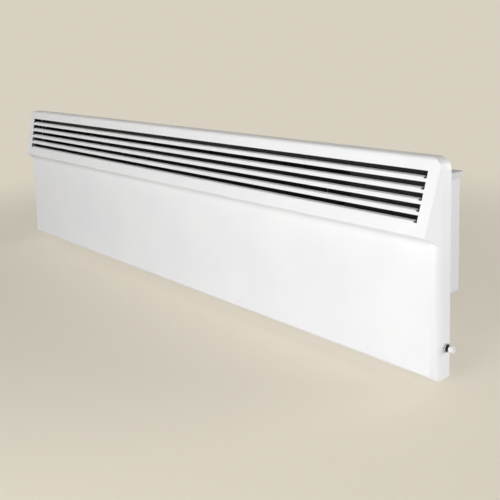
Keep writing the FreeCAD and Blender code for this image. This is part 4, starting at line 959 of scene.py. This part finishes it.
@dataclass
class PowerPush:
    """Push switch low on the right edge: a knurled nut, a dark stem and a dished cap with a power mark.

    Attributes:
        knurls: Ridges round the nut.
        knurl_depth_mm: Depth of a groove between ridges.
        bore_mm: Radius of the nut's bore.
        nut_edge_mm: Width of the nut's broken edges.
        nut_sharp: Angle from which an edge of the nut shows, in degrees.
        cap_mm: Radius and length of the button's cap.
        foot_curve: Broken edge of the cap's foot, in shares of its size.
        edge_mm: Height of the rounding round the cap's end.
        edge_curve: That rounding, in shares of the cap's radius and of its own height.
        cap_sharp: Angle from which an edge of the cap shows, in degrees.
        stem_mm: Radius of the button's stem.
        collar_mm: Radius and thickness of the collar that keeps the button in.
        dish_mm: Radius and depth of the hollow in the cap.
        dish_curve: That hollow, in shares of its size.
        mark_mm: Radius, line width and height of the power mark.
        mark_sides: Corners of the mark's ring.
        gap_slope: Slope of the sides of the ring's gap.
        stroke_place: Middle of the mark's stroke, as a share of the ring's radius.
        shoulder: Height of the mark's edges, as a share of its own.
    """

    knurls: int = 30
    knurl_depth_mm: float = 0.3
    bore_mm: float = 3.45
    nut_edge_mm: float = 0.35
    nut_sharp: float = 20.0
    cap_mm: tuple[float, float] = (3.3, 4.4)
    foot_curve: Profile = ((0.95, 1.0), (1.0, 0.95))
    edge_mm: float = 0.9
    edge_curve: Profile = ((1.0, 1.0), (0.97, 5 / 9), (0.88, 1 / 6), (0.78, 0.0))
    cap_sharp: float = 40.0
    stem_mm: float = 2.5
    collar_mm: tuple[float, float] = (3.1, 1.5)
    dish_mm: tuple[float, float] = (2.3, 0.4)
    dish_curve: Profile = ((1.0, 1 / 8), (0.8, 0.7), (0.4, 1.0))
    mark_mm: Triple = (1.0, 0.3, 0.15)
    mark_sides: int = 36
    gap_slope: float = 1.3
    stroke_place: float = 0.75
    shoulder: float = 0.8

    def build(self, wardrobe: Wardrobe) -> None:
        """Model the nut, the stem, the cap and its mark and dress them.

        Args:
            wardrobe: Gives the finishes.
        """
        wardrobe.dress(self.nut(), "knurled_nut", "heater", "steel", "switch_nut")
        wardrobe.dress(self.stem(), "button_stem", "power_button", "black_plastic")
        wardrobe.dress(self.cap(), "dished_cap", "power_button", "white_plastic", "power_button")
        wardrobe.dress(self.mark(), "power_mark", "power_button", "grey_plastic")

    def along_edge(self, node: str) -> Matrix:
        """Give the placing that stands a piece turned about Z on a node's left side, looking right.

        Args:
            node: The node.

        Returns:
            The placing.
        """
        low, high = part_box(node)
        centre = (low + high) / 2
        return Matrix.Translation((low.x, centre.y, centre.z)) @ turn_z_to(Vector((1, 0, 0)))

    def nut(self) -> Shape:
        """Model the knurled ring nut.

        Returns:
            The nut in its place.
        """
        low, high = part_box("switch_nut")
        outer, tall = (high.z - low.z) / 2 / MM, (high.x - low.x) / MM
        edge, inner = self.nut_edge_mm, self.bore_mm
        profile = [(inner, 0), (outer - edge, 0), (outer, edge), (outer, tall - edge), (outer - edge, tall)]
        profile += [(inner + edge, tall), (inner, tall - edge), (inner, 0)]
        ring = turned(profile, sides=2 * self.knurls, hollow=True)
        step = math.pi / self.knurls

        def in_groove(points: Sequence[Vector]) -> bool:
            """Tell whether a point of the rim belongs to a groove."""
            odd = round(math.atan2(points[0].y, points[0].x) / step) % 2 == 1
            return odd and points[0].xy.length > (outer - edge / 2) * MM

        with editing(ring):
            pick(ring, Part.VERTEX, in_groove)
            shrink = 1 - self.knurl_depth_mm / outer
            bpy.ops.transform.resize(value=(shrink, shrink, 1), center_override=(0, 0, 0))
        smooth(ring, self.nut_sharp)
        set_down(ring, self.along_edge("switch_nut"))
        return ring

    def length(self) -> float:
        """Give the whole length of the button in mm."""
        low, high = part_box("power_button")
        return (high.x - low.x) / MM

    def stem(self) -> Shape:
        """Model the stem with its collar, up to a little inside the cap.

        Returns:
            The stem in its place.
        """
        collar, thick = self.collar_mm
        edge = thick / 6
        end = self.length() - self.cap_mm[1] + edge
        profile = [(collar - edge, 0), (collar, edge), (collar, thick - edge), (collar - edge, thick)]
        profile += [(self.stem_mm, thick), (self.stem_mm, end)]
        stem = turned(profile)
        smooth(stem)
        set_down(stem, self.along_edge("power_button"))
        return stem

    def cap(self) -> Shape:
        """Model the cap with its hollowed end.

        Returns:
            The cap in its place.
        """
        radius, long = self.cap_mm
        dish, deep = self.dish_mm
        tip = self.length()
        profile = scaled(self.foot_curve, radius, -long, tip)
        profile += scaled(self.edge_curve, radius, -self.edge_mm, tip)
        profile += scaled(self.dish_curve, dish, -deep, tip)
        cap = turned(profile)
        smooth(cap, self.cap_sharp)
        set_down(cap, self.along_edge("power_button"))
        return cap

    def mark(self) -> Shape:
        """Model the power mark: an open ring with a stroke in its gap.

        Returns:
            The mark on the cap.
        """
        radius, line, rise = self.mark_mm
        base = self.length() - self.dish_mm[1] - rise / 4
        inner, outer = radius - line / 2, radius + line / 2
        side = base + rise * self.shoulder
        profile = [(inner, base), (outer, base), (outer, side), (radius, base + rise), (inner, side), (inner, base)]
        ring = turned(profile, sides=self.mark_sides, hollow=True)

        def in_gap(points: Sequence[Vector]) -> bool:
            """Tell whether a face lies in the ring's gap, round +Y."""
            middle = sum(points, Vector()) / len(points)
            return middle.y > abs(middle.x) * self.gap_slope

        with editing(ring):
            pick(ring, Part.FACE, in_gap)
            bpy.ops.mesh.delete(type="FACE")
            bpy.ops.mesh.select_all(action="SELECT")
            bpy.ops.mesh.fill_holes(sides=0)
        stroke = bar((line, radius, rise), (0, radius * self.stroke_place, base + rise / 2), line / 6)
        mark = joined([stroke, ring])
        close_up(mark)
        smooth(mark)
        set_down(mark, self.along_edge("power_button"))
        return mark


class KeySign(Enum):
    """Signs on the three keys, as strokes: length, width and middle along X and Y in mm."""

    MINUS = ((3.6, 0.7, 0.0, 0.0),)
    PLUS = ((3.6, 0.7, 0.0, 0.0), (0.7, 3.6, 0.0, 0.0))
    MODE = ((3.4, 0.6, 0.0, 1.2), (3.4, 0.6, 0.0, 0.0), (3.4, 0.6, 0.0, -1.2))


@dataclass
class ControlTop:
    """Signs on the keys and digits of the display, on top of the casing's right end.

    Attributes:
        sign_rise_mm: Height of a sign above its key.
        digit_mm: Width and height of a digit.
        line_mm: Width of a digit's segment.
        digit_pitch_mm: Distance between the digits.
        print_rise_mm: Height of the digits above the window.
        lit: Segments of each digit that show, clockwise from the top and the middle one last.
    """

    sign_rise_mm: float = 0.2
    digit_mm: tuple[float, float] = (4.4, 8.0)
    line_mm: float = 0.9
    digit_pitch_mm: float = 7.4
    print_rise_mm: float = 0.06
    lit: tuple[str, str] = ("1101101", "1111110")

    def build(self, wardrobe: Wardrobe) -> None:
        """Model the signs and the digits and dress them.

        Args:
            wardrobe: Gives the finishes.
        """
        for sign in KeySign:
            key = f"{sign.name.lower()}_button"
            wardrobe.dress(self.sign(sign, key), f"{sign.name.lower()}_sign", key, "black_plastic")
        wardrobe.dress(self.digits(), "display_digits", "heater", "white_plastic")

    def sign(self, sign: KeySign, key: str) -> Shape:
        """Model the strokes of one sign on its key.

        Args:
            sign: Which sign.
            key: Node of the key.

        Returns:
            The sign in its place.
        """
        low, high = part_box(key)
        middle = (low + high) / 2 / MM
        rise = self.sign_rise_mm
        strokes = [
            bar((long, wide, 2 * rise), (middle.x + x, middle.y + y, high.z / MM), rise / 2)
            for long, wide, x, y in sign.value
        ]
        return shaded(strokes)

    def digits(self) -> Shape:
        """Model the segments of the two digits on the window.

        Returns:
            The digits in their place.
        """
        low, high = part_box("display_window")
        middle = (low + high) / 2 / MM
        wide, tall = (self.digit_mm[0] - self.line_mm) / 2, (self.digit_mm[1] - self.line_mm) / 2
        ends = (
            (0, tall, True),
            (wide, tall / 2, False),
            (wide, -tall / 2, False),
            (0, -tall, True),
            (-wide, -tall / 2, False),
            (-wide, tall / 2, False),
            (0, 0, True),
        )
        segments = []
        for place, shown in zip((-0.5, 0.5), self.lit):
            for (x, y, level), on in zip(ends, shown):
                if on == "1":
                    long = 2 * wide - self.line_mm if level else tall - self.line_mm / 2
                    size = (long, self.line_mm) if level else (self.line_mm, long)
                    across = middle.x + place * self.digit_pitch_mm + x
                    centre = (across, middle.y + y, high.z / MM)
                    segments.append(bar((*size, 2 * self.print_rise_mm), centre, self.print_rise_mm / 2))
        return joined(segments)


@dataclass
class GlandGrip:
    """Grip ribs round the cord gland's tapered tail.

    Attributes:
        count: Ribs round the tail.
        rib_mm: Width, depth and length of a rib.
        top_radius_mm: Radius of the tail at its collar.
        tip_radius_mm: Radius of the tail at its tip.
        tail_mm: Length of the tail.
    """

    count: int = 14
    rib_mm: Triple = (1.1, 1.2, 6.5)
    top_radius_mm: float = 8.0
    tip_radius_mm: float = 6.0
    tail_mm: float = 10.0

    def build(self, wardrobe: Wardrobe) -> None:
        """Model one rib, copy it round the tail and dress the set.

        Args:
            wardrobe: Gives the finishes.
        """
        low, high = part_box("cable_gland")
        axis = (low + high) / 2
        wide, deep, long = self.rib_mm
        slope = math.atan((self.top_radius_mm - self.tip_radius_mm) / self.tail_mm)
        radius = (self.top_radius_mm + self.tip_radius_mm) / 2
        master = bar((deep, wide, long), (0, 0, 0), wide / 4)
        ribs = []
        for place in range(self.count):
            rib = copy_of(master)
            out = Matrix.Translation((radius * MM, 0, low.z + self.tail_mm / 2 * MM))
            lean = Matrix.Rotation(slope, 4, "Y")
            around = Matrix.Rotation(2 * math.pi * place / self.count, 4, "Z")
            set_down(rib, Matrix.Translation((axis.x, axis.y, 0)) @ around @ out @ lean)
            ribs.append(rib)
        bpy.data.objects.remove(master)
        wardrobe.dress(shaded(ribs), "gland_grip", "heater", "black_plastic")


@dataclass
class BoardParts:
    """Relay, transformer and lead sockets that hang under the control board.

    Attributes:
        edge_mm: Radius of the moulded edges.
        base_mm: How far the relay's base stands back, and its height.
        nib_mm: Length, width and height of the nib that seals the relay's vent.
        core_mm: Width of the transformer core's legs, and its depth.
        flange_mm: Thickness of the bobbin's flanges.
        coil_back_mm: How far the coil stands back from the flanges.
        coil_edge_mm: Radius of the coil's edges.
        plug_mm: How far a plug stands back from its socket, and how far it hangs out of it.
        latch_mm: Width of a plug's latch.
    """

    edge_mm: float = 0.4
    base_mm: tuple[float, float] = (0.5, 2.0)
    nib_mm: Triple = (3.0, 1.2, 0.4)
    core_mm: tuple[float, float] = (3.5, 8.0)
    flange_mm: float = 1.3
    coil_back_mm: float = 0.8
    coil_edge_mm: float = 2.0
    plug_mm: tuple[float, float] = (0.8, 4.5)
    latch_mm: float = 2.0

    def build(self, wardrobe: Wardrobe) -> None:
        """Model the components and dress them.

        Args:
            wardrobe: Gives the finishes.
        """
        wardrobe.dress(self.relay(), "relay_case", "heater", "relay_blue", "power_relay")
        low, high = (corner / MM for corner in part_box("transformer"))
        wardrobe.dress(self.coil(low, high), "taped_coil", "heater", "transformer_yellow", "transformer")
        wardrobe.dress(self.core(low, high), "coil_core", "heater", "black_plastic")
        wardrobe.dress(self.sockets(), "lead_sockets", "heater", "white_plastic", "board_connectors")

    def relay(self) -> Shape:
        """Model the relay: a case on a base that stands back, with the vent's nib at its end.

        Returns:
            The relay in its place.
        """
        low, high = (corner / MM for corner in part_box("power_relay"))
        back, tall = self.base_mm
        long, wide, rise = self.nib_mm
        start, middle, split = low.x + long, (low.y + high.y) / 2, high.z - tall
        case = block((low.x, low.y, low.z + rise), (high.x, high.y, split), self.edge_mm)
        base_ends = (low.x + back, low.y + back, split - tall), (high.x - back, high.y - back, high.z)
        nib_ends = (start, middle - wide / 2, low.z), (start + long, middle + wide / 2, low.z + 2 * rise)
        return shaded([case, block(*base_ends, self.edge_mm), block(*nib_ends, rise / 2)])

    def coil(self, low: Vector, high: Vector) -> Shape:
        """Model the coil, wound round the core's middle leg and taped.

        Args:
            low: Lowest corner of the transformer in mm.
            high: Its highest corner.

        Returns:
            The coil in its place.
        """
        back = self.coil_back_mm
        inset = Vector((self.core_mm[0] + back, back, self.core_mm[0] + self.flange_mm / 2))
        return shaded([block(low + inset, high - inset, self.coil_edge_mm)])

    def core(self, low: Vector, high: Vector) -> Shape:
        """Model the core's legs and yokes and the bobbin's flanges.

        Args:
            low: Lowest corner of the transformer in mm.
            high: Its highest corner.

        Returns:
            The core in its place.
        """
        leg, depth = self.core_mm
        edge, flange = self.edge_mm, self.flange_mm
        front, rear = ((low.y + high.y + side * depth) / 2 for side in (-1, 1))
        shapes = [block((x, front, low.z), (x + leg, rear, high.z), edge) for x in (low.x, high.x - leg)]
        left, right = low.x + leg, high.x - leg
        for z in (low.z, high.z - leg):
            ends = ((left - edge, front + edge / 2, z), (right + edge, rear - edge / 2, z + leg))
            shapes.append(block(*ends, edge))
        for z in (low.z + leg, high.z - leg - flange):
            shapes.append(block((left, low.y, z), (right, high.y, z + flange), flange / 4))
        return shaded(shapes)

    def sockets(self) -> Shape:
        """Model one socket with its plug and the plug's latch, and copy it to each place.

        Returns:
            The sockets in their place.
        """
        boxes = loose_boxes("board_connectors")
        first = boxes[0][0]
        low, high = (corner / MM for corner in boxes[0])
        back, tall = self.plug_mm
        edge = self.edge_mm
        split, middle = low.z + tall, (low.x + high.x) / 2
        left, right = middle - self.latch_mm / 2, middle + self.latch_mm / 2
        plug = (low.x + back, low.y + back, low.z), (high.x - back, high.y - back, split + back)
        latch = (left, low.y, low.z + back), (right, low.y + 2 * back, split + edge / 2)
        socket_walls = block((low.x, low.y, split), high, edge)
        master = shaded([socket_walls, block(*plug, edge), block(*latch, edge / 2)])
        copies = []
        for corner, _ in boxes:
            copy = copy_of(master)
            set_down(copy, Matrix.Translation(corner - first))
            copies.append(copy)
        bpy.data.objects.remove(master)
        return joined(copies)


# Studio


@dataclass(frozen=True)
class Lamp:
    """A soft square lamp.

    Attributes:
        name: Name of the lamp.
        place: Its middle.
        aim: Point that it looks at.
        size: Length of a side.
        watts: Its power.
    """

    name: str
    place: Triple
    aim: Triple
    size: float
    watts: float

    def hang(self) -> None:
        """Hang the lamp in the scene, out of the camera's sight."""
        data = bpy.data.lights.new(self.name, "AREA")
        data.size, data.energy = self.size, self.watts
        lamp = bpy.data.objects.new(self.name, data)
        lamp.location = self.place
        lamp.visible_camera = False
        lamp.rotation_euler = (Vector(self.aim) - Vector(self.place)).to_track_quat("-Z", "Y").to_euler()
        bpy.context.scene.collection.objects.link(lamp)


@dataclass
class Studio:
    """Pale floor, soft lamps, even surroundings and the camera.

    Attributes:
        floor_gap_mm: Room between the floor and the heater's lowest edge.
        floor_size: Length of the floor's side.
        ambient: Strength of the even light from the sides.
        zenith: Strength of the light from above.
        sky_band: Heights on a sphere of radius 1 between which the light falls to the zenith's.
        daylight: Colour of that light.
        backdrop: Colour of the floor and the surroundings where the camera sees them.
        bounce: Colour of the floor for the light that it throws back.
        lift: What the lit floor adds where the camera sees it, so that it comes up to the backdrop.
        near, far: Distances between which the lit floor passes into the even backdrop.
        camera_mm: The camera's place.
        yaw, pitch, roll: How the camera is turned, in degrees.
        lens: Focal length for a sensor 36 mm wide.
        shift: How far the picture is shifted up: the photograph shows the heater below its optical centre.
        clip: Distance from which the camera sees.
        lamps: The soft lamps.
    """

    floor_gap_mm: float = 12.0
    floor_size: float = 12.0
    ambient: float = 1.5
    zenith: float = 0.1
    sky_band: tuple[float, float] = (0.1, 0.6)
    daylight: str = "#FFFFFF"
    backdrop: str = "#D8D1C2"
    bounce: str = "#E0E0E0"
    lift: float = 0.42
    near: float = 0.5
    far: float = 1.15
    camera_mm: Triple = (902.1, -688.9, 197.8)
    yaw: float = 50.48
    pitch: float = 7.8
    roll: float = 1.34
    lens: float = 57.07
    shift: float = -0.195
    clip: float = 0.01
    lamps: Sequence[Lamp] = (
        Lamp("key", (0.65, -1.2, 0.15), (0.3, -0.09, -0.03), 0.55, 7.3),
        Lamp("back", (1.5, 1.5, 0.4), (0.4, -0.06, -0.02), 1.2, 18.0),
    )

    def build(self) -> None:
        """Set up the floor, the surroundings, the lamps and the camera."""
        bpy.context.scene.view_settings.view_transform = "Standard"
        self.lay_floor()
        self.surround()
        for lamp in self.lamps:
            lamp.hang()
        self.stand_camera()

    def seen(self, tree: Tree) -> Socket:
        """Give a value that is 1 where the camera looks, straight or through gloss and glass."""
        path = add_node(tree, "ShaderNodeLightPath").outputs
        return largest(tree, path["Is Camera Ray"], path["Is Glossy Ray"], path["Is Transmission Ray"])

    def lay_floor(self) -> None:
        """Lay a pale floor that keeps the heater's shadow."""
        low, _ = CAD_BOX
        height = low.z - self.floor_gap_mm * MM
        floor = add_primitive("plane_add", size=self.floor_size, location=(0, 0, height))
        floor.name = "studio_floor"
        floor.data.materials.append(self.floor_paint())

    def floor_paint(self) -> bpy.types.Material:
        """Build the floor's paint: lit near the heater, and even where it passes into the backdrop.

        Returns:
            The new material.
        """
        paint = empty_material("studio_floor_paint")
        tree = paint.node_tree
        place = add_node(tree, "ShaderNodeTexCoord").outputs["Object"]
        seen = self.seen(tree)
        colours = {"data_type": "RGBA", "A_Color": linear(self.bounce), "B_Color": linear(self.backdrop)}
        tint = socket(add_node(tree, "ShaderNodeMix", colours, {"Factor_Float": seen}).outputs, "Result_Color")
        matt = add_node(tree, "ShaderNodeBsdfDiffuse", links={"Color": tint}).outputs["BSDF"]
        colour = {"Color": linear(self.backdrop)}
        times = {"operation": "MULTIPLY", "Value_001": self.lift}
        glow = {"Strength": add_node(tree, "ShaderNodeMath", times, {"Value": seen}).outputs["Value"]}
        raised = add_node(tree, "ShaderNodeEmission", colour, glow).outputs["Emission"]
        links = {"Shader": matt, "Shader_001": raised}
        lit = add_node(tree, "ShaderNodeAddShader", links=links).outputs["Shader"]
        even = add_node(tree, "ShaderNodeEmission", colour).outputs["Emission"]
        length = add_node(tree, "ShaderNodeVectorMath", {"operation": "LENGTH"}, {"Vector": place}).outputs["Value"]
        band = {"interpolation_type": "SMOOTHSTEP", "From Min": self.near, "From Max": self.far}
        away = add_node(tree, "ShaderNodeMapRange", band, {"Value": length}).outputs["Result"]
        both_ways = {"Value": away, "Value_001": seen}
        share = add_node(tree, "ShaderNodeMath", {"operation": "MULTIPLY"}, both_ways).outputs["Value"]
        links = {"Fac": share, "Shader": lit, "Shader_001": even}
        both = add_node(tree, "ShaderNodeMixShader", links=links)
        add_node(tree, "ShaderNodeOutputMaterial", links={"Surface": both.outputs["Shader"]})
        return paint

    def surround(self) -> None:
        """Put even light all round, in the backdrop's colour where the camera sees it."""
        world = bpy.data.worlds.new("studio_surroundings")
        bpy.context.scene.world = world
        world.use_nodes = True
        tree = world.node_tree
        tree.nodes.clear()
        seen = self.seen(tree)
        place = add_node(tree, "ShaderNodeTexCoord").outputs["Generated"]
        height = add_node(tree, "ShaderNodeSeparateXYZ", links={"Vector": place}).outputs["Z"]
        low, high = self.sky_band
        fall = {"interpolation_type": "SMOOTHSTEP", "From Min": low, "From Max": high}
        fall |= {"To Min": self.ambient, "To Max": self.zenith}
        light = add_node(tree, "ShaderNodeMapRange", fall, {"Value": height}).outputs["Result"]
        links = {"Factor_Float": seen, "A_Float": light}
        mixed = add_node(tree, "ShaderNodeMix", {"data_type": "FLOAT", "B_Float": 1.0}, links)
        level = socket(mixed.outputs, "Result_Float")
        colours = {"data_type": "RGBA", "A_Color": linear(self.daylight), "B_Color": linear(self.backdrop)}
        tint = socket(add_node(tree, "ShaderNodeMix", colours, {"Factor_Float": seen}).outputs, "Result_Color")
        sky = add_node(tree, "ShaderNodeBackground", links={"Color": tint, "Strength": level})
        add_node(tree, "ShaderNodeOutputWorld", links={"Surface": sky.outputs["Background"]})

    def stand_camera(self) -> None:
        """Stand the camera at the photograph's viewing angle."""
        yaw, pitch, roll = (math.radians(angle) for angle in (self.yaw, self.pitch, self.roll))
        upright = Matrix.Rotation(yaw, 4, "Z") @ Matrix.Rotation(math.pi / 2 - pitch, 4, "X")
        turn = upright @ Matrix.Rotation(-roll, 4, "Z")
        data = bpy.data.cameras.new("camera")
        data.lens = self.lens
        data.shift_y = self.shift
        data.clip_start = self.clip
        camera = bpy.data.objects.new("camera", data)
        camera.matrix_world = Matrix.Translation(Vector(self.camera_mm) * MM) @ turn
        bpy.context.scene.collection.objects.link(camera)
        bpy.context.scene.camera = camera


def main() -> None:
    """Dress the solids, model the fine pieces and set up the studio."""
    logging.basicConfig(level=logging.INFO, format="%(message)s")
    wardrobe = Wardrobe()
    wardrobe.dress_solids()
    PressedPanel().build(wardrobe)
    for group, facing in (("panel", (0, 1, 0)), ("shield", (0, -1, 0)), ("board", (0, 0, -1))):
        CrossScrews(f"{group}_screws", Vector(facing)).build(wardrobe)
    BlindRivets().build(wardrobe)
    PowerPush().build(wardrobe)
    ControlTop().build(wardrobe)
    GlandGrip().build(wardrobe)
    BoardParts().build(wardrobe)
    Studio().build()


if __name__ == "__main__":
    main()
